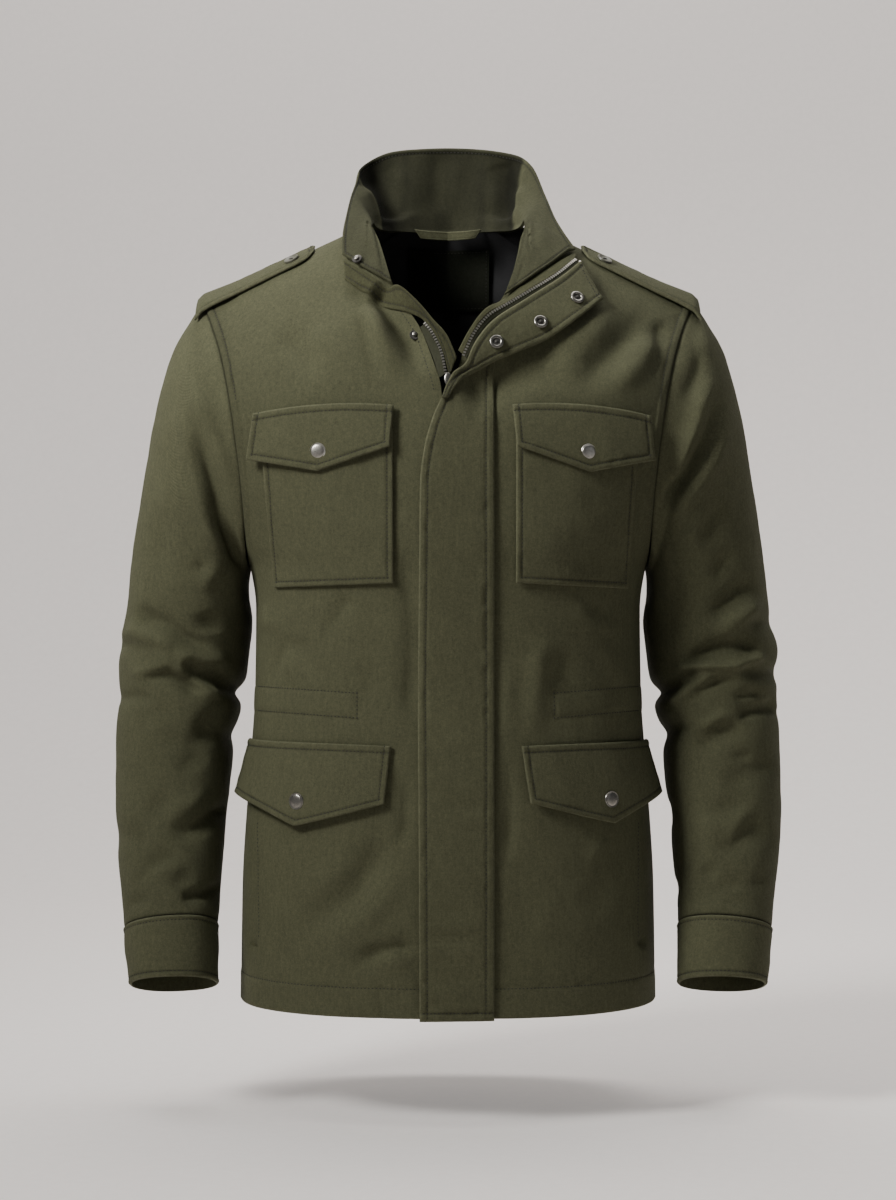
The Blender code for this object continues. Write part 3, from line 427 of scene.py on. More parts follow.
LEFT_SLEEVE_CREASES = crease_set(
    (
        ((251, -116), (243, -150), (232, -178), (219, -200), (204, -224), (191, -246), (182, -270)),
        4.2, 7.5, (0.3, 0.2),
    ),
    (
        ((259, -132), (252, -159), (243, -182), (234, -202), (222, -220), (207, -238), (196, -260)),
        -4.6, 7.0, (0.3, 0.2),
    ),
    (
        ((266, -140), (260, -168), (254, -194), (243, -214), (229, -231), (217, -250), (209, -280)),
        3.0, 7.5, (0.3, 0.3),
    ),
    (((234, -92), (232, -122), (224, -145), (215, -163)), -2.6, 7.0),
    (((222, -80), (218, -110), (210, -140)), 1.4, 6.0),
    (((258, -238), (247, -263), (238, -290)), -2.0, 7.0),
    (((244, -240), (235, -268), (228, -300)), 1.6, 7.0),
    (((267, -282), (255, -304), (242, -323)), -2.2, 7.0),
    (((285, -309), (272, -326), (256, -342), (240, -359)), -4.2, 8.5, (0.3, 0.35)),
    (((293, -330), (278, -349), (263, -363), (245, -376)), 3.2, 8.5, (0.25, 0.3)),
    (((277, -362), (297, -359), (314, -362)), -2.0, 7.0, (0.4, 0.1)),
    (((214, -397), (230, -387), (248, -381), (271, -379), (294, -385)), -4.6, 5.4, (0.2, 0.15)),
    (
        ((209, -404), (228, -397), (247, -397), (265, -397), (284, -393), (302, -387)),
        3.4, 4.0, (0.15, 0.15),
    ),
    (((262, -402), (282, -402), (297, -403), (318, -401)), -3.2, 7.0, (0.35, 0.2)),
    (((244, -404), (268, -406), (290, -412), (314, -419)), 2.2, 6.0, (0.2, 0.4)),
    (((188, -424), (207, -414), (224, -407), (240, -404)), -5.0, 7.5, (0.0, 0.3)),
    (((206, -434), (224, -422), (239, -412), (250, -405)), 3.0, 4.4, (0.2, 0.2)),
    (((223, -430), (239, -419), (254, -413), (274, -411)), -3.8, 5.0, (0.3, 0.3)),
    (((263, -432), (280, -424), (300, -417)), -3.0, 5.5),
    (((270, -448), (286, -441), (308, -435)), -3.6, 5.5, (0.3, 0.1)),
    (((222, -474), (252, -463), (290, -457)), -2.6, 8.0, (0.4, 0.4)),
    (((232, -458), (250, -449), (273, -446)), 2.0, 4.5),
    (((186, -466), (209, -459), (231, -450)), -3.0, 8.0, (0.0, 0.4)),
    (((260, -486), (273, -483), (288, -481)), -1.6, 4.5),
    (((250, -512), (280, -500), (306, -486)), -2.2, 10.0, (0.4, 0.2)),
    (((222, -540), (252, -532), (290, -520)), -2.0, 8.0, (0.4, 0.4)),
    (((238, -570), (275, -557), (306, -545)), -2.8, 12.0, (0.4, 0.2)),
    (((228, -528), (243, -547), (257, -569)), 1.9, 6.0),
    (((255, -570), (267, -550), (282, -530)), 1.9, 6.0),
    (((232, -589), (252, -593)), -1.6, 6.0),
    (((232, -614), (256, -604), (286, -598)), -1.8, 8.0, (0.4, 0.4)),
    (((256, -627), (284, -617)), -1.0, 7.0, (0.5, 0.5)),
    (((284, -596), (298, -604)), -1.2, 6.0),
)

COLLAR_CREASES = crease_set(
    (((-82, 54), (-71, 28), (-66, 4), (-54, -34)), 6.0, 6.5, (0.15, 0.3), 0.3),
    (((-68, 66), (-58, 42), (-53, 14)), -9.0, 11.0, (0.0, 0.2)),
    (((70, 54), (68, 28), (66, 4), (54, -46)), 6.0, 6.5, (0.15, 0.3), -0.3),
    (((54, 68), (54, 40), (52, 12)), -8.0, 10.0, (0.0, 0.2)),
    (((-66, 70), (-55, 40), (-48, 16)), -3.0, 7.0, (0.2, 0.2)),
    (((-50, 74), (-36, 46), (-30, 14)), 1.8, 6.0),
    (((-6, 80), (-14, 52), (-10, 20)), -2.6, 6.5, (0.2, 0.3)),
    (((10, 80), (4, 50), (8, 20)), 1.6, 6.0),
    (((48, 72), (58, 46), (62, 20)), -3.0, 7.5, (0.1, 0.2)),
    (((34, 78), (38, 50), (44, 22)), 1.6, 7.0),
    (((28, 76), (20, 50), (26, 24)), -1.2, 6.0),
    (((-62, 20), (-58, -6), (-50, -26)), -1.6, 5.0),
    (((-84, 8), (-74, -14), (-64, -30)), -2.0, 4.5),
    (((70, 30), (74, 4), (78, -12)), -2.2, 6.0),
    (((84, 26), (86, 2), (92, -14)), 1.5, 6.0),
    (((74, -16), (62, -34), (52, -48)), -1.2, 5.0),
)


# The body form


class JacketForm:
    """The filled-out body that every panel lies on."""

    COLUMNS = ("z", "half_width", "front", "back")
    ROWS = (
        (-0.710, 0.1925, 0.138, 0.122),
        (-0.600, 0.1910, 0.134, 0.119),
        (-0.500, 0.1850, 0.128, 0.110),
        (-0.420, 0.1795, 0.124, 0.103),
        (-0.345, 0.1785, 0.129, 0.108),
        (-0.305, 0.1840, 0.133, 0.114),
        (-0.285, 0.1950, 0.135, 0.118),
        (-0.260, 0.2085, 0.136, 0.121),
        (-0.220, 0.2280, 0.136, 0.125),
        (-0.180, 0.2430, 0.133, 0.127),
        (-0.140, 0.2540, 0.127, 0.126),
        (-0.100, 0.2620, 0.118, 0.122),
        (-0.060, 0.2660, 0.108, 0.116),
        (0.030, 0.2680, 0.094, 0.108),
    )
    SECTION_POWER = 2.4
    ROLL_POWER = 2.2
    ROLL_HEIGHT = 0.160
    RIDGE_Y = 0.005
    NECK_POINT_X = 0.074
    NECK_POINT_Z = 0.0143
    SHOULDER_SLOPE = 0.4635
    SHOULDER_TIP_X = 0.229
    HEM_Z = -0.704
    UNDERARM_Z = -0.305
    BACK_NECK_Z = 0.017
    SEAM_CALM = 0.016
    FOLD_SCALE = 2.1
    LUMP = 0.00085
    LUMPS = ((1.0, (0.050, 0.110)), (0.5, (0.020, 0.045)), (0.22, (0.008, 0.016)))
    NUDGE = 2e-4
    NEARLY_ALL = 0.9992
    TUNNEL_PUFF = 0.0007

    def __init__(self) -> None:
        """Reads the sections and draws the armhole."""
        self.table = Table(self.COLUMNS, self.ROWS)
        self.shoulder_tip_z = self.ridge_z(self.SHOULDER_TIP_X)
        self.armhole = Table(
            ("z", "x"),
            (
                (self.UNDERARM_Z, 0.1840),
                (-0.260, 0.1850),
                (-0.220, 0.1880),
                (-0.180, 0.1930),
                (-0.142, 0.1995),
                (-0.110, 0.2075),
                (-0.085, 0.2165),
                (self.shoulder_tip_z, self.SHOULDER_TIP_X),
            ),
        )

    def ridge_z(self, x: Array) -> Array:
        """Height of the shoulder line at a distance from the middle."""
        return self.NECK_POINT_Z - self.SHOULDER_SLOPE * (np.abs(x) - self.NECK_POINT_X)

    def side_x(self, z: Array) -> Array:
        """Where a panel ends at a height: the side seam, or the armhole above the underarm."""
        return np.where(z <= self.UNDERARM_Z, self.table.read("half_width", z), self.armhole.read("x", z))

    def neckline_z(self, x: Array) -> Array:
        """Height of the back neckline."""
        drop = self.BACK_NECK_Z - self.NECK_POINT_Z
        return self.BACK_NECK_Z - drop * (np.abs(x) / self.NECK_POINT_X) ** 1.6

    def section(self, x: Array, z: Array, limit: float) -> Array:
        """Share of the form's full depth at (x, z), which falls to 0 at its sides."""
        reach = np.clip(np.abs(x) / self.table.read("half_width", z), 0, limit)
        return (1 - reach**self.SECTION_POWER) ** (1 / self.SECTION_POWER)

    def depth(self, x: Array, z: Array, face: Face) -> Array:
        """y of the form's front or back at (x, z)."""
        section = self.section(x, z, 1.0)
        fall = np.clip((self.ridge_z(x) - z) / self.ROLL_HEIGHT, 0, 1)
        roll = (1 - (1 - fall) ** self.ROLL_POWER) ** (1 / self.ROLL_POWER)
        full = self.table.read("front" if face is Face.FRONT else "back", z)
        return self.RIDGE_Y + (face.value * full * section - self.RIDGE_Y) * roll

    def surface(self, x: Array, z: Array, face: Face, folded: bool = True) -> tuple:
        """Points of the form and the directions out of it.

        Args:
            x: places from the middle.
            z: heights.
            face: front or back.
            folded: whether the cloth's folds are in it.

        Returns:
            Points and unit normals.
        """
        x, z = np.broadcast_arrays(np.asarray(x, float), np.asarray(z, float))
        nudge = self.NUDGE
        limit = self.table.read("half_width", z) * self.NEARLY_ALL
        inner_x = np.clip(x, -limit, limit)
        low_z = np.minimum(z, self.ridge_z(inner_x) - nudge)
        side = face.value
        ahead = np.full(x.shape, side * 2 * nudge)
        slope_x = self.depth(inner_x + nudge, low_z, face) - self.depth(inner_x - nudge, low_z, face)
        slope_z = self.depth(inner_x, low_z + nudge, face) - self.depth(inner_x, low_z - nudge, face)
        normals = unit(np.stack([-side * slope_x, ahead, -side * slope_z], -1))
        points = np.stack([x, self.depth(x, z, face), z], -1)
        if folded:
            points = points + normals * self.folds(points, face)[..., None]
        return points, normals

    def folds(self, points: Array, face: Face) -> Array:
        """How far out the cloth's folds move points of the form."""
        x, z = points[..., 0], points[..., 2]
        creases = FRONT_CREASES if face is Face.FRONT else BACK_CREASES
        high = self.FOLD_SCALE * creased(elevation(points), creases)
        seed = 11 if face is Face.FRONT else 23
        slant = np.stack([x + 0.6 * z, z - 0.5 * x], -1)
        for number, (share, size) in enumerate(self.LUMPS):
            high += share * self.LUMP * noise(slant, size, seed + number)
        to_side = self.side_x(z) - np.abs(x)
        to_ridge = self.ridge_z(x) - z
        high *= ease(to_side / self.SEAM_CALM) * ease(to_ridge / self.SEAM_CALM)
        if face is Face.FRONT:
            high += self.tunnel_puff(points)
        return high

    def tunnel_puff(self, points: Array) -> Array:
        """The low relief of the drawcord tunnels at the waist."""
        place = elevation(points)
        total = np.zeros(points.shape[:-1])
        for side in Side:
            total += WaistTunnel(side).puff(place) * self.TUNNEL_PUFF
        return total

    def shoulder_point(self, x: Array, y: Array, lift: Array) -> Array:
        """Points on the shoulder, given from above.

        Args:
            x: places from the middle.
            y: places from front to back.
            lift: how far over the form.

        Returns:
            The points.
        """
        way = np.where(y < self.RIDGE_Y, -1.0, 1.0)
        height = self.ridge_z(x)
        for _ in range(5):
            section = self.section(x, height, 0.999)
            full = np.where(way < 0, self.table.read("front", height), self.table.read("back", height))
            part = np.clip((y - self.RIDGE_Y) / (way * full * section - self.RIDGE_Y), 0, 0.98)
            fall = 1 - (1 - part**self.ROLL_POWER) ** (1 / self.ROLL_POWER)
            height = self.ridge_z(x) - self.ROLL_HEIGHT * fall
        return np.stack([x, y, height + lift], -1)


@dataclass(frozen=True)
class WaistTunnel:
    """A drawcord tunnel: two rows of stitches at the waist, joined at the inner end."""

    side: Side
    inner_x: float = 0.0850
    outer_x: float = 0.1775
    high_inner: float = -0.4232
    high_outer: float = -0.4170
    low_inner: float = -0.4465
    low_outer: float = -0.4395

    @property
    def start_x(self) -> float:
        """Where the tunnel starts, out from the middle."""
        return self.inner_x + (0.014 if self.side is Side.LEFT else 0.0)

    def lines(self) -> tuple:
        """Its rows of stitches on the front drawing."""
        way, inner, outer = self.side.value, self.start_x, self.outer_x
        corners = (way * inner, self.high_inner), (way * inner, self.low_inner)
        return (
            (corners[0], (way * outer, self.high_outer)),
            (corners[1], (way * outer, self.low_outer)),
            corners,
        )

    def puff(self, place: Array) -> Array:
        """0 outside the tunnel to 1 on its middle, on the front drawing."""
        inner = self.start_x
        x = place[..., 0] * self.side.value
        share = (x - inner) / (self.outer_x - inner)
        high = blend(self.high_inner, self.high_outer, share)
        low = blend(self.low_inner, self.low_outer, share)
        up = (place[..., 1] - low) / (high - low)
        band = np.clip(4 * up * (1 - up), 0, 1) ** 0.5
        return band * ease((x - inner) / 0.004)


FORM = JacketForm()


# Finishes and materials


@dataclass(frozen=True)
class ClothFinish:
    """A woven cloth."""

    name: str
    slot: Slot
    colour: tuple
    worn: tuple
    wale: float = 0.0011
    roughness: float = 0.86
    sheen: float = 0.03
    relief: float = 0.0006
    mottle: float = 0.34


@dataclass(frozen=True)
class MetalFinish:
    """Plated metal, a little scratched."""

    name: str
    colour: tuple
    roughness: float
    metallic: float = 1.0
    slot: Slot = Slot.METAL


@dataclass(frozen=True)
class PlasticFinish:
    """A moulded or coated surface."""

    name: str
    colour: tuple
    roughness: float
    slot: Slot
    glow: float = 0.0


TWILL = ClothFinish("olive_twill", Slot.CLOTH, (0.0745, 0.0762, 0.0430), (0.145, 0.145, 0.090))
# A darker copy of the olive twill: painted shade on the zip guard, the zip facing and the inside of the
# cuffs, which lie in shade.
TWILL_SHADED = ClothFinish("olive_facing", Slot.CLOTH, (0.056, 0.057, 0.030), (0.115, 0.116, 0.067))

SATIN = ClothFinish(
    "black_satin", Slot.LINING, (0.022, 0.022, 0.023), (0.034, 0.034, 0.036),
    wale=0.0004, roughness=0.46, sheen=0.05, relief=0.00004, mottle=0.10,
)
TAPE = ClothFinish(
    "zip_tape", Slot.TAPE, (0.028, 0.029, 0.018), (0.045, 0.046, 0.030), wale=0.0008, relief=0.00015,
)
LABEL = ClothFinish(
    "woven_label", Slot.LABEL, (0.014, 0.016, 0.010), (0.045, 0.048, 0.034), wale=0.0006, roughness=0.7,
)
THREAD = PlasticFinish("olive_thread", (0.012, 0.0115, 0.007), 0.75, Slot.CLOTH)
TEETH = MetalFinish("zip_metal", (0.42, 0.40, 0.36), 0.32)
SOCKET = MetalFinish("dark_socket", (0.25, 0.24, 0.215), 0.28)
NICKEL = MetalFinish("aged_nickel", (0.40, 0.385, 0.35), 0.30)
DARK_NICKEL = MetalFinish("nickel_recess", (0.055, 0.052, 0.047), 0.55, 0.8)
BUTTON = PlasticFinish("olive_button", (0.060, 0.060, 0.042), 0.38, Slot.BUTTON)
PALE_FLOOR = PlasticFinish("pale_floor", (0.64, 0.605, 0.580), 0.95, Slot.CLOTH, 0.39)


class Tree:
    """Builds a node tree in few words."""

    def __init__(self, tree: bpy.types.NodeTree) -> None:
        """Takes the tree that it adds to."""
        self.tree = tree

    def add(self, kind: str, settings: dict | None = None, **inputs: object) -> bpy.types.Node:
        """Adds a node.

        Args:
            kind: the node's type.
            settings: its own properties.
            inputs: values or sockets for its inputs, by name with _ for a space, or by i and number.

        Returns:
            The node.
        """
        node = self.tree.nodes.new(kind)
        for key, value in (settings or {}).items():
            setattr(node, key, value)
        for key, value in inputs.items():
            number = key[1:].isdigit() and key[0] == "i"
            socket = node.inputs[int(key[1:])] if number else node.inputs[key.replace("_", " ")]
            if isinstance(value, bpy.types.NodeSocket):
                self.tree.links.new(value, socket)
            else:
                socket.default_value = value
        return node

    def math(self, operation: str, first: object, second: object = 0.0) -> bpy.types.NodeSocket:
        """One sum, product or the like."""
        return self.add("ShaderNodeMath", {"operation": operation}, i0=first, i1=second).outputs[0]

    def noise(self, place: bpy.types.NodeSocket, scale: float, detail: float) -> bpy.types.NodeSocket:
        """Noise at a place, about 0.5."""
        return self.add("ShaderNodeTexNoise", Vector=place, Scale=scale, Detail=detail).outputs[0]

    def colour(self, shader: bpy.types.Node, colour: object, shade: bpy.types.NodeSocket) -> None:
        """Gives a shader a colour times a shade."""
        scaled = self.add("ShaderNodeVectorMath", {"operation": "SCALE"}, i0=colour, Scale=shade)
        self.tree.links.new(scaled.outputs[0], shader.inputs["Base Color"])

    def bump(self, shader: bpy.types.Node, height: object, distance: float, strength: float) -> None:
        """Gives a shader a fine relief."""
        bump = self.add("ShaderNodeBump", Height=height, Distance=distance, Strength=strength)
        self.tree.links.new(bump.outputs[0], shader.inputs["Normal"])


def new_group(name: str, kind: str, sockets: tuple) -> tuple:
    """A node group with named sockets.

    Args:
        name: the group's name.
        kind: its tree type.
        sockets: (name, in or out, socket type, default) of each socket.

    Returns:
        The group, its tree builder, its input node and its output node.
    """
    group = bpy.data.node_groups.new(name, kind)
    for label, way, socket_type, default in sockets:
        socket = group.interface.new_socket(name=label, in_out=way, socket_type=socket_type)
        if default is not None:
            socket.default_value = default
    tree = Tree(group)
    return group, tree, tree.add("NodeGroupInput"), tree.add("NodeGroupOutput")


class MaterialLibrary:
    """The materials, made once each, and the node groups that they share.

    MOTTLE has the scale, share and detail of each noise, and whether it is of slubs.
    """

    MOTTLE = (
        (850.0, 2.2, 2.0, False),
        (330.0, 1.6, 2.0, False),
        (420.0, 1.0, 2.0, True),
        (28.0, 0.6, 3.0, False),
    )
    SLUB_STRETCH = (1.0, 1.0, 0.13)
    CROSS_THREADS = 1.7
    SEAM_SHADE = 0.88
    RUBBED_SHARE = 0.42

    def __init__(self) -> None:
        """Makes the shared node groups."""
        self.made: dict = {}
        self.weave = self._weave_group()
        self.mottle = self._mottle_group()
        self.wear = self._wear_group()

    def _weave_group(self) -> bpy.types.NodeTree:
        """Twill wales and their cross threads, as height and shade."""
        group, tree, into, out = new_group("Twill weave", "ShaderNodeTree", (
            ("Vector", "INPUT", "NodeSocketVector", None),
            ("Wale", "INPUT", "NodeSocketFloat", 0.001),
            ("Height", "OUTPUT", "NodeSocketFloat", None),
            ("Shade", "OUTPUT", "NodeSocketFloat", None),
        ))
        place = tree.add("ShaderNodeSeparateXYZ", i0=into.outputs["Vector"]).outputs
        turn = tree.math("DIVIDE", 2 * math.pi, into.outputs["Wale"])
        rising = tree.math("MULTIPLY", tree.math("ADD", place[0], place[1]), turn)
        falling = tree.math("MULTIPLY", tree.math("SUBTRACT", place[0], place[1]), turn)
        wales = tree.math("SINE", rising)
        threads = tree.math("SINE", tree.math("MULTIPLY", falling, self.CROSS_THREADS))
        height = tree.math("MULTIPLY_ADD", threads, 0.35)
        tree.tree.links.new(wales, height.node.inputs[2])
        level = tree.math("MULTIPLY_ADD", height, 0.37)
        level.node.inputs[2].default_value = 0.5
        shade = tree.math("MULTIPLY_ADD", height, 0.055)
        shade.node.inputs[2].default_value = 1.0
        tree.tree.links.new(level, out.inputs["Height"])
        tree.tree.links.new(shade, out.inputs["Shade"])
        return group

    def _mottle_group(self) -> bpy.types.NodeTree:
        """Uneven dye: fine slubs, patches and a faint broad drift, as a factor about 1."""
        group, tree, into, out = new_group("Cloth mottle", "ShaderNodeTree", (
            ("Vector", "INPUT", "NodeSocketVector", None),
            ("Amount", "INPUT", "NodeSocketFloat", 0.15),
            ("Factor", "OUTPUT", "NodeSocketFloat", None),
        ))
        total = None
        stretched = tree.add("ShaderNodeVectorMath", {"operation": "MULTIPLY"}, i0=into.outputs["Vector"])
        stretched.inputs[1].default_value = self.SLUB_STRETCH
        for scale, share, detail, slubs in self.MOTTLE:
            place = stretched.outputs[0] if slubs else into.outputs["Vector"]
            texture = tree.add("ShaderNodeTexNoise", Vector=place, Scale=scale, Detail=detail, Roughness=0.6)
            part = tree.math("MULTIPLY", tree.math("SUBTRACT", texture.outputs[0], 0.5), share)
            total = part if total is None else tree.math("ADD", total, part)
        factor = tree.math("ADD", tree.math("MULTIPLY", total, into.outputs["Amount"]), 1.0)
        tree.tree.links.new(factor, out.inputs["Factor"])
        return group

    def _wear_group(self) -> bpy.types.NodeTree:
        """Rubbed edges, broken up by noise, and painted shade in seams, stitch ditches and the collar's
        recess, from one point attribute of the cloth.
        """
        group, tree, into, out = new_group("Edge wear", "ShaderNodeTree", (
            ("Vector", "INPUT", "NodeSocketVector", None),
            ("Rubbed", "OUTPUT", "NodeSocketFloat", None),
            ("Shadow", "OUTPUT", "NodeSocketFloat", None),
        ))
        wear = tree.add("ShaderNodeAttribute", {"attribute_name": "wear"}).outputs["Fac"]
        texture = tree.noise(into.outputs["Vector"], 160.0, 3.0)
        broken = tree.add("ShaderNodeMapRange", Value=texture, From_Min=0.35, From_Max=0.65, To_Min=0.45)
        rubbed = tree.math("MULTIPLY", tree.math("MAXIMUM", wear, 0.0), broken.outputs[0])
        shadow = tree.math("MAXIMUM", tree.math("MULTIPLY", wear, -1.0), 0.0)
        tree.tree.links.new(rubbed, out.inputs["Rubbed"])
        tree.tree.links.new(shadow, out.inputs["Shadow"])
        return group

    def get(self, finish: object) -> bpy.types.Material:
        """The material of a finish."""
        if finish.name not in self.made:
            material = bpy.data.materials.new(finish.name)
            material.use_nodes = True
            tree = Tree(material.node_tree)
            shader = material.node_tree.nodes["Principled BSDF"]
            makers = {ClothFinish: self._cloth, MetalFinish: self._metal, PlasticFinish: self._plastic}
            makers[type(finish)](tree, shader, finish)
            self.made[finish.name] = material
        return self.made[finish.name]

    def _cloth(self, tree: Tree, shader: bpy.types.Node, finish: ClothFinish) -> None:
        """Twill with uneven dye, rubbed edges, and painted shade in seams, stitch ditches and the collar's
        recess.
        """
        lay = tree.add("ShaderNodeUVMap", {"uv_map": "lay"}).outputs[0]
        place = tree.add("ShaderNodeTexCoord").outputs["Object"]
        weave = tree.add("ShaderNodeGroup", {"node_tree": self.weave}, Vector=lay, Wale=finish.wale)
        mottle = tree.add("ShaderNodeGroup", {"node_tree": self.mottle}, Vector=place, Amount=finish.mottle)
        wear = tree.add("ShaderNodeGroup", {"node_tree": self.wear}, Vector=place)
        shade = tree.math("MULTIPLY", weave.outputs["Shade"], mottle.outputs["Factor"])
        # Painted shade: seams, stitch ditches and the collar's recess are drawn darker here.
        dark = tree.math("MULTIPLY", wear.outputs["Shadow"], self.SEAM_SHADE)
        shade = tree.math("MULTIPLY", shade, tree.math("SUBTRACT", 1.0, dark))
        share = tree.math("MULTIPLY", wear.outputs["Rubbed"], self.RUBBED_SHARE)
        rubbed = tree.add("ShaderNodeMix", {"data_type": "RGBA"}, Factor=share)
        rubbed.inputs[6].default_value = (*finish.colour, 1)
        rubbed.inputs[7].default_value = (*finish.worn, 1)
        tree.colour(shader, rubbed.outputs[2], shade)
        fuzz = tree.noise(place, 1500.0, 2.0)
        height = tree.math("ADD", weave.outputs["Height"], tree.math("MULTIPLY", fuzz, 0.8))
        tree.bump(shader, height, finish.relief, 0.8)
        shader.inputs["Roughness"].default_value = finish.roughness
        shader.inputs["Sheen Weight"].default_value = finish.sheen
        shader.inputs["Sheen Roughness"].default_value = 0.45
        shader.inputs["Sheen Tint"].default_value = (*finish.worn, 1)
        shader.inputs["Specular IOR Level"].default_value = 0.11

    def _metal(self, tree: Tree, shader: bpy.types.Node, finish: MetalFinish) -> None:
        """Plating with tarnish patches and fine scratches."""
        place = tree.add("ShaderNodeTexCoord").outputs["Object"]
        tarnish = tree.noise(place, 420.0, 4.0)
        shade = tree.add(
            "ShaderNodeMapRange", Value=tarnish, From_Min=0.3, From_Max=0.7, To_Min=0.72, To_Max=1.06
        )
        tree.colour(shader, finish.colour, shade.outputs[0])
        dull, bright = finish.roughness + 0.12, finish.roughness - 0.08
        rough = tree.add("ShaderNodeMapRange", Value=tarnish, To_Min=dull, To_Max=bright)
        tree.tree.links.new(rough.outputs[0], shader.inputs["Roughness"])
        tree.bump(shader, tree.noise(place, 2600.0, 2.0), 0.00004, 0.5)
        shader.inputs["Metallic"].default_value = finish.metallic

    def _plastic(self, tree: Tree, shader: bpy.types.Node, finish: PlasticFinish) -> None:
        """One colour with slight patches and a fine grain."""
        place = tree.add("ShaderNodeTexCoord").outputs["Object"]
        shade = tree.add("ShaderNodeMapRange", Value=tree.noise(place, 90.0, 3.0), To_Min=0.95, To_Max=1.05)
        tree.colour(shader, finish.colour, shade.outputs[0])
        shader.inputs["Roughness"].default_value = finish.roughness
        shader.inputs["Emission Color"].default_value = (*finish.colour, 1)
        shader.inputs["Emission Strength"].default_value = finish.glow
        tree.bump(shader, tree.noise(place, 1800.0, 2.0), 0.00003, 0.4)


MATERIALS = MaterialLibrary()


# Pieces


def new_object(name: str, mesh: bpy.types.Mesh) -> bpy.types.Object:
    """An object of a mesh, in the scene."""
    made = bpy.data.objects.new(name, mesh)
    bpy.context.scene.collection.objects.link(made)
    return made


def declare(piece: bpy.types.Object, slot: Slot, nodes: tuple = ()) -> bpy.types.Object:
    """Fixes a piece to the jacket's body, in the place of the CAD nodes it stands for."""
    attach(piece, BODY)
    if nodes:
        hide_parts(*nodes)
    faces = len(piece.data.polygons)
    LOG.info("%s: %d faces, %s, stands for %d nodes", piece.name, faces, slot.value, len(nodes))
    return piece


@dataclass
class Seam:
    """A line on the cloth, with the directions out of it."""

    points: Array
    normals: Array

    def trimmed(self, start: float, end: float) -> "Seam":
        """The same line, shorter by a distance at its start and its end."""
        steps = np.linalg.norm(np.diff(self.points, axis=0), axis=1)
        far = np.concatenate([[0.0], np.cumsum(steps)])
        keep = np.linspace(start, far[-1] - end, len(far))
        read = [np.interp(keep, far, self.points[:, i]) for i in range(3)]
        turn = [np.interp(keep, far, self.normals[:, i]) for i in range(3)]
        return Seam(np.stack(read, -1), np.stack(turn, -1))


@dataclass(frozen=True)
class Hem:
    """A turned and stitched border.

    Args:
        stitch: distance of the stitches from the edge.
        puff: how far the border stands out between edge and stitches.
        ditch: how far the stitches pull the cloth in.
        ditch_width: how wide that dent is.
        pucker: how uneven the cloth is along the stitches.
    """

    stitch: float = 0.0055
    puff: float = 0.0003
    ditch: float = 0.0006
    ditch_width: float = 0.0011
    pucker: float = 0.00022


@dataclass(frozen=True)
class Cut:
    """The flat cut of a piece of cloth, in metres and square metres, and how it is held."""

    width: float
    length: float
    area: float
    held: str


NARROWEST = 0.0101


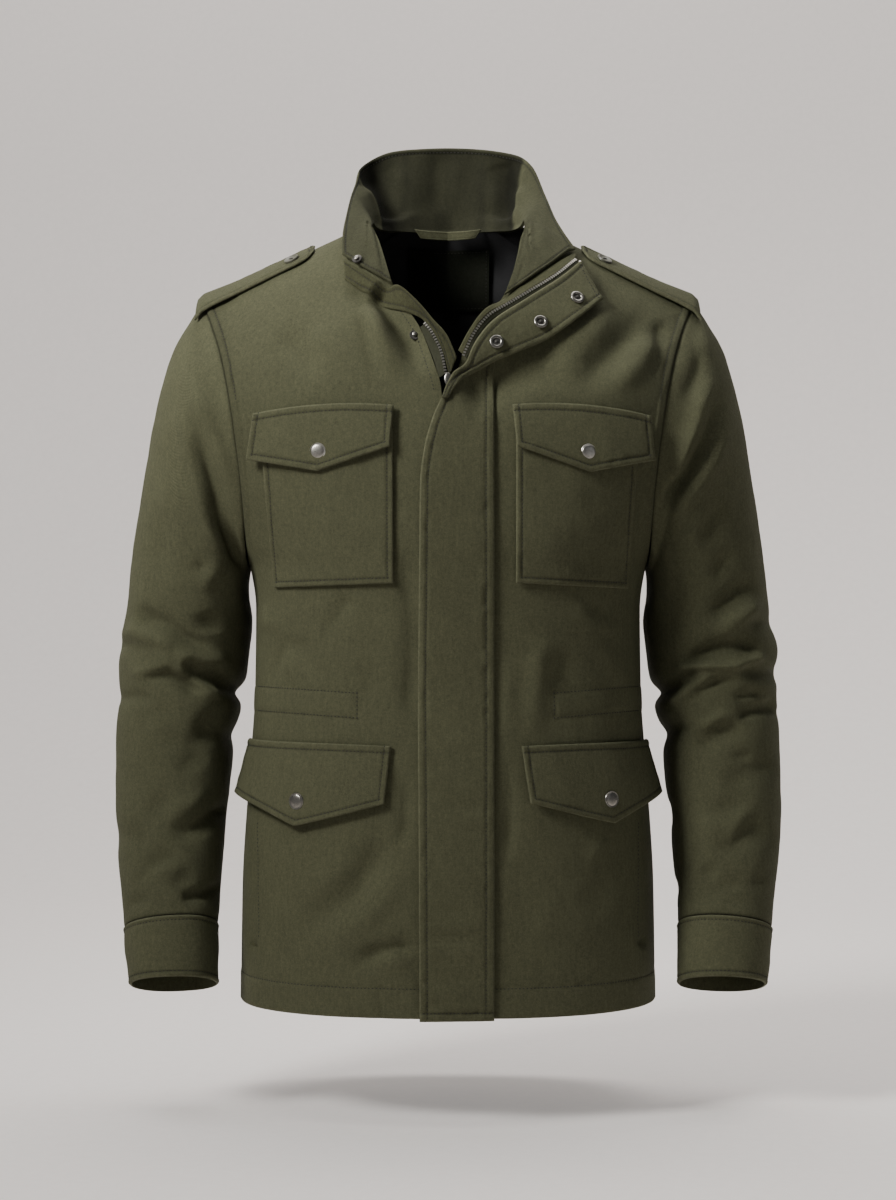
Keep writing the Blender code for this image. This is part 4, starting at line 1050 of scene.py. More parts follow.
class ClothPiece:
    """A wall of cloth on a grid of points, built up and then made into a mesh.

    Args:
        name: the piece's name.
        points: the grid that the wall stands on, rows by columns.
        normals: unit directions out of the cloth.
        wall: the cloth's thickness.
        wrap: whether the last column meets the first.
    """

    RIM_DROP = 0.45
    RIM_WIDTH = 0.6
    RUBBED_WIDTH = 0.0022
    UNEVEN_SIZE = 0.0065
    UNEVEN_SEED = 300
    UNEVEN_REACH = 3.5
    DITCH_SHADE = 0.30
    SHARP_ANGLE = 1.05

    def __init__(
        self, name: str, points: Array, normals: Array, wall: float, wrap: bool = False
    ) -> None:
        """Starts with an even wall on the grid."""
        self.name = name
        self.points = points
        self.normals = normals
        self.wall = wall
        self.wrap = wrap
        self.outer = np.full(points.shape[:2], wall)
        self.inner = np.zeros(points.shape[:2])
        self.wear = np.zeros(points.shape[:2])
        self.inner_wear = np.zeros(points.shape[:2])
        down = np.linalg.norm(np.diff(points, axis=0), axis=-1)
        along = np.linalg.norm(np.diff(points, axis=1), axis=-1)
        self.down = np.pad(np.cumsum(down, axis=0), ((1, 0), (0, 0)))
        self.along = np.pad(np.cumsum(along, axis=1), ((0, 0), (1, 0)))

    def distance(self, edge: Edge) -> Array:
        """How far each point of the grid is from a border, along the cloth."""
        if edge is Edge.FIRST_ROW:
            return self.down
        if edge is Edge.LAST_ROW:
            return self.down[-1:] - self.down
        if edge is Edge.FIRST_COLUMN:
            return self.along
        return self.along[:, -1:] - self.along

    def nearest(self, *edges: Edge) -> Array:
        """How far each point is from the nearest of these borders."""
        return np.minimum.reduce([self.distance(edge) for edge in edges])

    def fold(self, height: Array) -> "ClothPiece":
        """Moves the whole wall out."""
        self.outer = self.outer + height
        self.inner = self.inner + height
        return self

    def emboss(self, height: Array) -> "ClothPiece":
        """Moves the outer face out."""
        self.outer = self.outer + height
        return self

    def round_off(self, *edges: Edge) -> "ClothPiece":
        """Rounds the outer face over at these borders."""
        away = self.nearest(*edges)
        self.emboss(-self.RIM_DROP * self.wall * (1 - ease(away / (self.RIM_WIDTH * self.wall))))
        self.wear = np.maximum(self.wear, 1 - ease(away / self.RUBBED_WIDTH))
        return self

    def hem(self, hem: Hem, *edges: Edge, seed: int = 0) -> "ClothPiece":
        """Shapes a stitched border along these edges."""
        away = self.nearest(*edges)
        self.emboss(hem.puff * np.sin(np.pi * np.clip(away / hem.stitch, 0, 1)))
        return self.ditch(away - hem.stitch, hem, seed)

    def ditch(
        self, off: Array, hem: Hem, seed: int = 0, where: Array | float = 1.0
    ) -> "ClothPiece":
        """Pulls the cloth in along a row of stitches.

        Args:
            off: each point's distance from the row.
            hem: how the stitches pull.
            seed: picks how uneven it is.
            where: 1 where there are stitches and 0 elsewhere.

        Returns:
            This piece.
        """
        near = np.exp(-((off / hem.ditch_width) ** 2)) * where
        wide = np.exp(-((off / (self.UNEVEN_REACH * hem.ditch_width)) ** 2)) * where
        uneven = noise(self.points, self.UNEVEN_SIZE, self.UNEVEN_SEED + seed) * hem.pucker
        self.emboss(uneven * wide - hem.ditch * near)
        # Painted shade: the cloth is drawn darker along the row of stitches.
        self.wear = self.wear - self.DITCH_SHADE * near
        return self

    def line(self, edge: Edge, distance: float, lift: float = 0.0001) -> Seam:
        """A line on the outer face, beside a border.

        Args:
            edge: the border.
            distance: how far from it, along the cloth.
            lift: how far over the face.

        Returns:
            The line.
        """
        face = self.points + self.normals * (self.outer + lift)[..., None]
        across = self.distance(edge)
        turn = edge in BOTH_SIDES
        if turn:
            face, across = face.swapaxes(0, 1), across.T
        normals = self.normals.swapaxes(0, 1) if turn else self.normals
        flip = edge in (Edge.LAST_ROW, Edge.LAST_COLUMN)
        if flip:
            face, across, normals = face[::-1], across[::-1], normals[::-1]
        count = face.shape[1]
        index = np.array([np.interp(distance, across[:, i], np.arange(len(across))) for i in range(count)])
        low = np.clip(index.astype(int), 0, len(face) - 2)
        share = (index - low)[:, None]
        column = np.arange(count)
        place = blend(face[low, column], face[low + 1, column], share)
        return Seam(place, unit(blend(normals[low, column], normals[low + 1, column], share)))

    def build(self, outer: ClothFinish, inner: ClothFinish, held: str, *nodes: str) -> bpy.types.Object:
        """Args:
            outer: finish of the outer face and the borders.
            inner: finish of the inner face.
            held: how the cloth is held.
            nodes: CAD nodes that it stands for.

        Returns:
            The piece.
        """
        rows, columns = self.points.shape[:2]
        count = rows * columns
        faces_out = self.points + self.normals * self.outer[..., None]
        faces_in = self.points + self.normals * self.inner[..., None]
        points = np.concatenate([faces_out.reshape(-1, 3), faces_in.reshape(-1, 3)])
        index = np.arange(count).reshape(rows, columns)
        left = index if self.wrap else index[:, :-1]
        right = np.roll(index, -1, axis=1) if self.wrap else index[:, 1:]
        outer_quads = np.stack([left[:-1], right[:-1], right[1:], left[1:]], -1).reshape(-1, 4)
        borders = [
            np.stack([left[0], left[0] + count, right[0] + count, right[0]], -1),
            np.stack([left[-1], right[-1], right[-1] + count, left[-1] + count], -1),
        ]
        if not self.wrap:
            first, last = index[:, 0], index[:, -1]
            borders.append(np.stack([first[:-1], first[1:], first[1:] + count, first[:-1] + count], -1))
            borders.append(np.stack([last[:-1], last[:-1] + count, last[1:] + count, last[1:]], -1))
        quads = np.concatenate([outer_quads, *borders, outer_quads[:, ::-1] + count])
        a, b, c, d = (points[quads[:, i]] for i in range(4))
        volume = (np.cross(a, b) * c).sum() + (np.cross(a, c) * d).sum()
        if volume < 0:
            quads = quads[:, ::-1]
        mesh = bpy.data.meshes.new(self.name)
        mesh.from_pydata(points.tolist(), [], quads.tolist())
        mesh.materials.append(MATERIALS.get(outer))
        mesh.materials.append(MATERIALS.get(inner))
        which = np.zeros(len(quads), np.int32)
        which[-len(outer_quads):] = 1
        mesh.polygons.foreach_set("material_index", which)
        self._lay_map(mesh, quads, count)
        wear = mesh.attributes.new("wear", "FLOAT", "POINT")
        levels = np.concatenate([self.wear.ravel(), self.inner_wear.ravel()])
        wear.data.foreach_set("value", np.clip(levels, -1, 1).astype(np.float32))
        mesh.shade_smooth()
        mesh.set_sharp_from_angle(angle=self.SHARP_ANGLE)
        piece = new_object(self.name, mesh)
        declare(piece, outer.slot, nodes)
        cut = self.flat_cut(held)
        LOG.info("%s: %.4f m2 of cloth, cut %.4f", self.name, self.area(faces_out), cut.area)
        return piece

    def flat_cut(self, held: str) -> Cut:
        """The flat cut: its widest and longest, and its area before the folds were laid in."""
        points = self.points
        if self.wrap:
            points = np.concatenate([points, points[:, :1]], axis=1)
        width = float(np.linalg.norm(np.diff(points, axis=1), axis=-1).sum(1).max())
        length = float(np.linalg.norm(np.diff(points, axis=0), axis=-1).sum(0).max())
        width, length = max(width, NARROWEST), max(length, NARROWEST)
        return Cut(width, length, min(self.area(self.points), width * length), held)

    def area(self, grid: Array) -> float:
        """Area of one face of the wall."""
        if self.wrap:
            grid = np.concatenate([grid, grid[:, :1]], axis=1)
        across = grid[:-1, 1:] - grid[:-1, :-1]
        down = grid[1:, :-1] - grid[:-1, :-1]
        return float(np.linalg.norm(np.cross(across, down), axis=-1).sum())

    def _lay_map(self, mesh: bpy.types.Mesh, quads: Array, count: int) -> None:
        """Writes where each corner lies on the flat cloth, in metres, as the map lay."""
        u = np.broadcast_to(self.along.mean(0), self.along.shape)
        v = np.broadcast_to(self.down.mean(1)[:, None], self.down.shape)
        flat = np.stack([u.ravel(), v.ravel()], -1)
        corners = flat[quads % count]
        if self.wrap:
            width = self.along.mean(0)[-1]
            over = (corners[..., 0].max(axis=1, keepdims=True) - corners[..., 0]) > width / 2
            corners[..., 0] += over * width * (1 + 1 / self.points.shape[1])
        layer = mesh.uv_layers.new(name="lay")
        layer.data.foreach_set("uv", corners.reshape(-1).astype(np.float32))


def grid_normals(grid: Array, wrap: bool = False) -> Array:
    """Unit normals of a grid of points, rows by columns."""
    if wrap:
        along = np.roll(grid, -1, axis=1) - np.roll(grid, 1, axis=1)
    else:
        along = np.gradient(grid, axis=1)
    return unit(np.cross(along, np.gradient(grid, axis=0)))


# What repeats along a line


@dataclass(frozen=True)
class Repeat:
    """A small solid set along a line again and again.

    Args:
        spacing: distance from one to the next.
        size: half its length, width and height.
        square: whether it is a block and not a round bead.
        vary: how uneven its size is.
    """

    spacing: float
    size: tuple
    square: bool = False
    vary: float = 0.12


STITCH = Repeat(0.0034, (0.00112, 0.00052, 0.00042))
TOOTH = Repeat(0.0027, (0.00066, 0.00120, 0.00075), square=True, vary=0.0)


class Repeater:
    """Sets stitches or zip teeth along seams with Geometry Nodes."""

    def __init__(self) -> None:
        """Starts with no groups."""
        self.groups: dict = {}

    def _group(self, square: bool) -> bpy.types.NodeTree:
        """Nodes that set one solid along every line of a mesh of edges."""
        if square in self.groups:
            return self.groups[square]
        group, tree, into, out = new_group("Set blocks" if square else "Set beads", "GeometryNodeTree", (
            ("Lines", "INPUT", "NodeSocketGeometry", None),
            ("Spacing", "INPUT", "NodeSocketFloat", 0.003),
            ("Half Size", "INPUT", "NodeSocketVector", (0.001, 0.001, 0.001)),
            ("Vary", "INPUT", "NodeSocketFloat", 0.1),
            ("Seed", "INPUT", "NodeSocketInt", 1),
            ("Finish", "INPUT", "NodeSocketMaterial", None),
            ("Solids", "OUTPUT", "NodeSocketGeometry", None),
        ))
        given = into.outputs
        curve = tree.add("GeometryNodeMeshToCurve", Mesh=given["Lines"])
        even = tree.add(
            "GeometryNodeResampleCurve", {"mode": "LENGTH"}, Curve=curve.outputs[0], Length=given["Spacing"]
        )
        if square:
            solid = tree.add("GeometryNodeMeshCube", Size=(2.0, 2.0, 2.0)).outputs[0]
        else:
            solid = tree.add("GeometryNodeMeshUVSphere", Segments=6, Rings=3, Radius=1.0).outputs[0]
        along = tree.add("GeometryNodeInputTangent").outputs[0]
        facing = tree.add("GeometryNodeInputNamedAttribute", {"data_type": "FLOAT_VECTOR"}, Name="facing")
        first = tree.add("FunctionNodeAlignRotationToVector", {"axis": "X"}, Vector=along)
        second = tree.add(
            "FunctionNodeAlignRotationToVector", {"axis": "Z", "pivot_axis": "X"},
            Rotation=first.outputs[0], Vector=facing.outputs[0],
        )
        shift = tree.add("FunctionNodeRandomValue", {"data_type": "FLOAT"}, Seed=given["Seed"])
        spread = tree.math("MULTIPLY", tree.math("SUBTRACT", shift.outputs[1], 0.5), given["Vary"])
        grow = tree.math("ADD", spread, 1.0)
        size = tree.add("ShaderNodeVectorMath", {"operation": "SCALE"}, i0=given["Half Size"], Scale=grow)
        placed = tree.add(
            "GeometryNodeInstanceOnPoints", Points=even.outputs[0], Instance=solid,
            Rotation=second.outputs[0], Scale=size.outputs[0],
        )
        real = tree.add("GeometryNodeRealizeInstances", Geometry=placed.outputs[0])
        smooth_faces = tree.add(
            "GeometryNodeSetShadeSmooth", Geometry=real.outputs[0], Shade_Smooth=not square
        )
        finished = tree.add(
            "GeometryNodeSetMaterial", Geometry=smooth_faces.outputs[0], Material=given["Finish"]
        )
        tree.tree.links.new(finished.outputs[0], out.inputs[0])
        self.groups[square] = group
        return group

    def set_along(
        self, name: str, seams: list, repeat: Repeat, finish: object, seed: int
    ) -> bpy.types.Object:
        """Makes one piece of all the solids along some seams.

        Args:
            name: the piece's name.
            seams: the lines.
            repeat: what is set along them, and how far apart.
            finish: its finish.
            seed: picks how its size varies.

        Returns:
            The piece.
        """
        points = np.concatenate([seam.points for seam in seams])
        facing = np.concatenate([seam.normals for seam in seams])
        edges, start = [], 0
        for seam in seams:
            edges += [(start + i, start + i + 1) for i in range(len(seam.points) - 1)]
            start += len(seam.points)
        lines = bpy.data.meshes.new(f"{name}_lines")
        lines.from_pydata(points.tolist(), edges, [])
        attribute = lines.attributes.new("facing", "FLOAT_VECTOR", "POINT")
        attribute.data.foreach_set("vector", facing.astype(np.float32).ravel())
        guide = new_object(f"{name}_guide", lines)
        group = self._group(repeat.square)
        modifier = guide.modifiers.new("set", "NODES")
        modifier.node_group = group
        values = {
            "Spacing": repeat.spacing, "Half Size": repeat.size, "Vary": repeat.vary,
            "Seed": seed, "Finish": MATERIALS.get(finish),
        }
        for item in group.interface.items_tree:
            if item.in_out == "INPUT" and item.name in values:
                modifier[item.identifier] = values[item.name]
        graph = bpy.context.evaluated_depsgraph_get()
        mesh = bpy.data.meshes.new_from_object(guide.evaluated_get(graph))
        mesh.name = name
        bpy.data.objects.remove(guide)
        return declare(new_object(name, mesh), finish.slot)


REPEATER = Repeater()


# Sub-assemblies


class Stitching:
    """Rows of stitches, gathered by group and then sewn as one piece each."""

    FIRST_SEED = 40

    def __init__(self) -> None:
        """Starts with no groups."""
        self.groups: dict = {}

    def add(self, group: str, *seams: Seam) -> None:
        """Puts lines into a group."""
        self.groups.setdefault(group, []).extend(seams)

    def sew(self) -> None:
        """Makes every group's stitches."""
        for number, (group, seams) in enumerate(self.groups.items()):
            REPEATER.set_along(f"stitches_{group}", seams, STITCH, THREAD, self.FIRST_SEED + number)


STITCHES = Stitching()


def crowded(start: float, end: float, count: int, spots: tuple) -> Array:
    """Steps from start to end that are closer together near some places.

    Args:
        start: the first value.
        end: the last value.
        count: how many there are.
        spots: (place, reach, how many times closer) for each such place.

    Returns:
        The values.
    """
    fine = np.linspace(start, end, 3000)
    density = np.ones_like(fine)
    for place, reach, closer in spots:
        density += (closer - 1) * np.exp(-(((fine - place) / reach) ** 2))
    total = np.cumsum(density)
    total = (total - total[0]) / (total[-1] - total[0])
    return np.interp(np.linspace(0, 1, count), total, fine)


def lay(name: str, x: Array, z: Array, lift: Array, wall: float) -> ClothPiece:
    """A piece of cloth that lies on the form's front, given by its points' x, z and lift."""
    points, normals = FORM.surface(x, z, Face.FRONT)
    piece = ClothPiece(name, points, normals, wall)
    return piece.fold(np.broadcast_to(lift, points.shape[:2]))


def line_on_front(path: tuple, lift: float, steps: int = 60) -> Seam:
    """A line on the front's cloth.

    Args:
        path: places on the front drawing that it passes through, in metres.
        lift: how far over the cloth.
        steps: how many points it has.

    Returns:
        The line.
    """
    knots = np.array(path, float)
    share = np.linspace(0, len(knots) - 1, steps)
    place = np.stack([np.interp(share, np.arange(len(knots)), knots[:, i]) for i in range(2)], -1)
    x, z = place[:, 0], place[:, 1]
    for _ in range(5):
        grow = (VIEW_DISTANCE + FORM.depth(x, z, Face.FRONT)) / VIEW_DISTANCE
        x, z = place[:, 0] * grow, VIEW_HEIGHT + (place[:, 1] - VIEW_HEIGHT) * grow
    points, normals = FORM.surface(x, z, Face.FRONT)
    return Seam(points + normals * lift, normals)


@dataclass(frozen=True)
class BodyPanels:
    """The two fronts and the back, from the hem to the neck and the shoulder seams."""

    wall: float = 0.0016
    seam_gap: float = 0.0002
    hem_depth: float = 0.0262
    armhole_stitch: float = 0.0078
    bar_height: float = -0.158
    low_rows: int = 148
    high_rows: int = 92
    front_columns: int = 100
    back_columns: int = 103
    side_stitch: float = -0.1775

    RIGHT_EDGE = (
        (FORM.HEM_Z, -0.005),
        (-0.165, -0.005),
        (-0.148, -0.0060),
        (-0.122, -0.0135),
        (-0.092, -0.0250),
        (-0.070, -0.0390),
        (-0.052, -0.0490),
        (-0.022, -0.0590),
        (-0.002, -0.0660),
        (FORM.NECK_POINT_Z, -FORM.NECK_POINT_X),
    )
    LEFT_EDGE = (
        (FORM.HEM_Z, 0.005),
        (-0.150, 0.005),
        (-0.120, 0.0120),
        (-0.090, 0.0290),
        (-0.064, 0.0490),
        (-0.045, 0.0570),
        (-0.023, 0.0630),
        (-0.004, 0.0670),
        (FORM.NECK_POINT_Z, FORM.NECK_POINT_X),
    )

    def heights(self) -> tuple:
        """Shares of the panel's height below the underarm and above it."""
        low = crowded(FORM.HEM_Z, FORM.UNDERARM_Z, self.low_rows, (
            (FORM.HEM_Z, 0.008, 2.5), (FORM.HEM_Z + self.hem_depth, 0.006, 3.0), (-0.430, 0.022, 1.8),
        ))
        low = (low - FORM.HEM_Z) / (FORM.UNDERARM_Z - FORM.HEM_Z)
        high = np.sin(np.linspace(0, np.pi / 2, self.high_rows))[1:]
        return (
            np.concatenate([low, np.ones(len(high))]),
            np.concatenate([np.zeros(len(low)), high]),
        )

    def front(self, side: Side) -> None:
        """One front, from its centre edge to the side seam and armhole."""
        rows = self.RIGHT_EDGE if side is Side.RIGHT else self.LEFT_EDGE
        edge = Table(("z", "x"), rows)
        low, high = self.heights()
        across = np.sin(np.linspace(0, np.pi / 2, self.front_columns)) ** 0.9
        base = blend(FORM.HEM_Z, FORM.UNDERARM_Z, low)
        in_z = blend(base, FORM.NECK_POINT_Z, high)
        out_z = blend(base, FORM.shoulder_tip_z, high)
        in_x = edge.read("x", in_z) * side.value
        side_x = FORM.side_x(out_z)
        x = side.value * blend(in_x[:, None], side_x[:, None], across[None, :])
        z = blend(in_z[:, None], out_z[:, None], across[None, :])
        points, normals = FORM.surface(x, z, Face.FRONT)
        points[..., 1] -= self.seam_gap
        piece = ClothPiece(f"cloth_front_{side.word}", points - normals * self.wall, normals, self.wall)
        self._finish_hem(piece, 70 + side.value)
        self._finish_armhole(piece, Edge.LAST_COLUMN, 80 + side.value)
        neck = 1 - ease((piece.distance(Edge.FIRST_COLUMN) - 0.004) / 0.008)
        open_part = ease((in_z + 0.150) / 0.02)[:, None]
        piece.emboss(0.0009 * neck * open_part)
        if side is Side.RIGHT:
            self._fold_edge(piece, open_part)
        tunnel = WaistTunnel(side)
        for path in tunnel.lines():
            crease = Crease(tuple((1000 * a, 1000 * b) for a, b in path), -0.55, 1.6, (0, 0))
            piece.emboss(crease.relief(elevation(points)))
            STITCHES.add(f"waist_{side.word}", line_on_front(path, 0.0))
        start, end = (self.side_stitch * -side.value, -0.545), (self.side_stitch * -side.value, -0.650)
        STITCHES.add(f"side_{side.word}", line_on_front((start, end), 0.0002))
        words = [f"front_{side.word}_{part}" for part in ("lower", "upper")]
        piece.build(TWILL, SATIN, "hung", *words)

    def _finish_hem(self, piece: ClothPiece, seed: int) -> None:
        """Turns up and stitches the hem."""
        up = piece.distance(Edge.FIRST_ROW)
        piece.emboss(0.0005 * (1 - ease((up - self.hem_depth) / 0.002)))
        piece.ditch(up - self.hem_depth, Hem(ditch=0.0007, ditch_width=0.0018, pucker=0.0005), seed)
        piece.round_off(Edge.FIRST_ROW)
        STITCHES.add("hem", piece.line(Edge.FIRST_ROW, self.hem_depth).trimmed(0.004, 0.004))

    def _finish_armhole(self, piece: ClothPiece, edge: Edge, seed: int) -> None:
        """Raises the seam allowance at the armhole and stitches it down."""
        away = piece.distance(edge)
        upper = ease((piece.points[..., 2] - FORM.UNDERARM_Z) / 0.05)
        stitched = ease((piece.points[..., 2] - self.bar_height) / 0.012)
        raised = 1 - ease((away - self.armhole_stitch + 0.001) / 0.003)
        piece.emboss(0.0008 * raised * upper)
        pull = Hem(ditch=0.0008, ditch_width=0.0014, pucker=0.0008)
        piece.ditch(away - self.armhole_stitch, pull, seed, stitched)
        piece.emboss(-0.0009 * (1 - ease(away / 0.0022)))
        # Painted shade: the panel is drawn darker at the armhole seam.
        piece.wear = piece.wear - 0.6 * (1 - ease(away / 0.0018))
        seam = piece.line(edge, self.armhole_stitch)
        keep = seam.points[:, 2] > self.bar_height
        seam = Seam(seam.points[keep], seam.normals[keep])
        STITCHES.add("armholes", seam.trimmed(0.001, 0.003))

    def _fold_edge(self, piece: ClothPiece, open_part: Array) -> None:
        """Folds and stitches the edge beside the open zip."""
        away = piece.distance(Edge.FIRST_COLUMN)
        piece.ditch(away - 0.0068, Hem(ditch=0.0007, ditch_width=0.0012), 91, open_part)
        seam = piece.line(Edge.FIRST_COLUMN, 0.0068)
        keep = (seam.points[:, 2] > -0.150) & (seam.points[:, 2] < -0.062)
        STITCHES.add("neck", Seam(seam.points[keep], seam.normals[keep]))

    def back(self) -> None:
        """The back, in one piece."""
        low, high = self.heights()
        across = np.sin(np.linspace(-np.pi / 2, np.pi / 2, self.back_columns))
        base = blend(FORM.HEM_Z, FORM.UNDERARM_Z, low)
        out_z = blend(base, FORM.shoulder_tip_z, high)
        x = across[None, :] * FORM.side_x(out_z)[:, None]
        top = np.where(np.abs(x[-1]) < FORM.NECK_POINT_X, FORM.neckline_z(x[-1]), FORM.ridge_z(x[-1]))
        z = blend(base[:, None], top[None, :], high[:, None])
        points, normals = FORM.surface(x, z, Face.BACK)
        points[..., 1] += self.seam_gap
        piece = ClothPiece("cloth_back", points - normals * self.wall, normals, self.wall)
        self._finish_hem(piece, 74)
        self._finish_armhole(piece, Edge.FIRST_COLUMN, 75)
        self._finish_armhole(piece, Edge.LAST_COLUMN, 76)
        words = [f"back_{side.word}_{part}" for side in Side for part in ("lower", "upper")]
        piece.build(TWILL, SATIN, "hung", *words)

    def build(self) -> None:
        """Makes the panels."""
        for side in Side:
            self.front(side)
        self.back()


@dataclass(frozen=True)
class Sleeve:
    """A sleeve from the armhole to its plain cuff."""

    side: Side
    wall: float = 0.0016
    cuff_wall: float = 0.0026
    cuff_proud: float = 0.0009
    power: float = 2.15
    rings: int = 236
    turn: int = 110
    cuff_rings: int = 44
    shoulder_gap: float = 0.0001
    underarm_gap: float = 0.0004
    fold_scale: float = 2.0
    lump: float = 0.0009
    armhole_pull: float = 0.45
    elbow_ring: float = 8.2

    LUMPS = (
        (1.0, (0.060, 0.075, 0.060), 5),
        (0.22, (0.009, 0.012, 0.010), 14),
        (0.5, (0.022, 0.030, 0.025), 9),
    )
    COLUMNS = ("outer_x", "outer_z", "inner_x", "inner_z", "mid_y", "half_depth", "lift")
    ROWS = (
        (0.2420, -0.0790, 0.1865, -0.3180, 0.006, 0.089, 0.000),
        (0.2580, -0.1080, 0.1870, -0.3270, 0.008, 0.088, 0.000),
        (0.2720, -0.1580, 0.1865, -0.3360, 0.010, 0.083, 0.000),
        (0.2835, -0.2180, 0.1850, -0.3460, 0.013, 0.077, 0.000),
        (0.2935, -0.2800, 0.1840, -0.3570, 0.016, 0.072, 0.000),
        (0.3010, -0.3420, 0.1850, -0.3720, 0.018, 0.069, 0.000),
        (0.3100, -0.3860, 0.1875, -0.3960, 0.018, 0.067, 0.002),
        (0.3085, -0.4250, 0.1895, -0.4250, 0.015, 0.065, 0.004),
        (0.3105, -0.4600, 0.1975, -0.4560, 0.010, 0.061, 0.006),
        (0.3100, -0.5100, 0.2030, -0.5030, 0.001, 0.056, 0.008),
        (0.3080, -0.5600, 0.2075, -0.5520, -0.012, 0.052, 0.010),
        (0.3020, -0.6050, 0.2105, -0.5960, -0.024, 0.048, 0.013),
        (0.2975, -0.6390, 0.2120, -0.6320, -0.034, 0.045, 0.016),
    )
    CUFF = (
        (0.2975, -0.6396, 0.2120, -0.6326, -0.034, 0.045, 0.016),
        (0.2945, -0.6640, 0.2115, -0.6590, -0.042, 0.044, 0.015),
        (0.2905, -0.6885, 0.2110, -0.6855, -0.050, 0.043, 0.014),
    )

    def angles(self) -> Array:
        """Angles round the tube: 0 at the shoulder tip, a quarter turn at the front."""
        return np.linspace(0, 2 * np.pi, self.turn, endpoint=False)

    def armhole_ring(self) -> Array:
        """The armhole's points by angle."""
        angles = self.angles()
        up = (1 + np.cos(angles)) / 2
        z = blend(FORM.UNDERARM_Z, FORM.shoulder_tip_z, up)
        x = FORM.armhole.read("x", z)
        y = np.where(np.sin(angles) > 0, FORM.depth(x, z, Face.FRONT), FORM.depth(x, z, Face.BACK))
        gap = blend(self.underarm_gap, self.shoulder_gap, up)
        return np.stack([self.side.value * (x + gap), y, z], -1)

    def tube(self, rows: tuple, steps: Array, proud: float = 0.0) -> Array:
        """Rings of the sleeve or cuff from its table."""
        table = Table(self.COLUMNS, rows)
        read = {name: table.spread(name, steps)[:, None] for name in self.COLUMNS}
        angles = self.angles()
        cosine = np.sign(np.cos(angles)) * np.abs(np.cos(angles)) ** (2 / self.power)
        sine = np.sign(np.sin(angles)) * np.abs(np.sin(angles)) ** (2 / self.power)
        mid_x = (read["outer_x"] + read["inner_x"]) / 2
        mid_z = (read["outer_z"] + read["inner_z"]) / 2
        half_x = (read["outer_x"] - read["inner_x"]) / 2 + proud
        half_z = (read["outer_z"] - read["inner_z"]) / 2
        x = mid_x + half_x * cosine
        y = read["mid_y"] - (read["half_depth"] + proud) * sine
        z = mid_z + half_z * cosine + read["lift"] * sine
        return np.stack([self.side.value * x, y, z], -1)

    def folds(self, points: Array) -> Array:
        """How far out the folds move points of the sleeve."""
        mine, other = RIGHT_SLEEVE_CREASES, LEFT_SLEEVE_CREASES
        if self.side is Side.LEFT:
            mine, other = other, mine
        place = elevation(points)
        front = ease(0.5 + np.sin(self.angles())[None, :] / 0.5)
        behind = tuple(crease.mirrored(0.014, 0.85) for crease in other)
        high = self.fold_scale * (creased(place, mine) * front + creased(place, behind) * (1 - front))
        slant = np.stack([points[..., 0] + 0.4 * points[..., 2], points[..., 2], points[..., 1]], -1)
        for share, size, seed in self.LUMPS:
            high += share * self.lump * noise(slant, size, seed + self.side.value)
        return high

    def build(self) -> None:
        """Makes the sleeve and its cuff."""
        body = self.tube(self.ROWS, np.linspace(0, 1, len(self.ROWS)))
        seam = self.armhole_ring()
        control = np.concatenate([seam[None], blend(seam, body[0], self.armhole_pull)[None], body])
        keys = np.arange(float(len(control)))
        spots = ((0, 0.25, 2.5), (keys[-1], 0.2, 2.5), (self.elbow_ring, 1.5, 1.7))
        steps = crowded(0, keys[-1], self.rings, spots)
        points = smooth(keys, control, steps)
        normals = grid_normals(points, wrap=True) * self.side.value
        inner, wall = points - normals * self.wall, self.wall
        piece = ClothPiece(f"cloth_sleeve_{self.side.word}", inner, normals, wall, wrap=True)
        down = piece.distance(Edge.FIRST_ROW)
        rise = piece.distance(Edge.LAST_ROW)
        piece.fold(self.folds(points) * ease(down / 0.03) * ease(rise / 0.016))
        piece.emboss(-0.0007 * (1 - ease(down / 0.004)))
        piece.emboss(0.0006 * noise(points, 0.008, 61) * np.exp(-((down / 0.010) ** 2)))
        # Painted shade: the sleeve is drawn darker at its armhole seam and where it meets the cuff.
        piece.wear = piece.wear - 0.6 * (1 - ease(down / 0.002)) - 0.7 * (1 - ease(rise / 0.0015))
        piece.emboss(-0.0005 * (1 - ease(rise / 0.003)))
        word = self.side.word
        nodes = [f"sleeve_{word}_{face}_{part}" for face in ("front", "back") for part in ("upper", "lower")]
        piece.build(TWILL, SATIN, "hung", *nodes)
        self.build_cuff()

    def build_cuff(self) -> None:
        """Makes the plain cuff, a little proud of the sleeve."""
        steps = crowded(0, 1, self.cuff_rings, ((0, 0.12, 3.0), (1, 0.12, 3.0)))
        points = self.tube(self.CUFF, steps, self.cuff_proud)
        normals = grid_normals(points, wrap=True) * self.side.value
        inner, wall = points - normals * self.cuff_wall, self.cuff_wall
        piece = ClothPiece(f"cloth_cuff_{self.side.word}", inner, normals, wall, wrap=True)
        piece.fold(0.0005 * noise(points, (0.030, 0.040, 0.016), 33 + self.side.value))
        for edge, stitch in ((Edge.FIRST_ROW, 0.0042), (Edge.LAST_ROW, 0.0050)):
            piece.round_off(edge).hem(Hem(stitch=stitch, ditch=0.0006, pucker=0.0003), edge, seed=3)
            seam = piece.line(edge, stitch)
            ring = [np.concatenate([grid, grid[:1]]) for grid in (seam.points, seam.normals)]
            STITCHES.add(f"cuff_{self.side.word}", Seam(*ring))
        piece.build(TWILL, TWILL_SHADED, "hung", f"cuff_{self.side.word}")


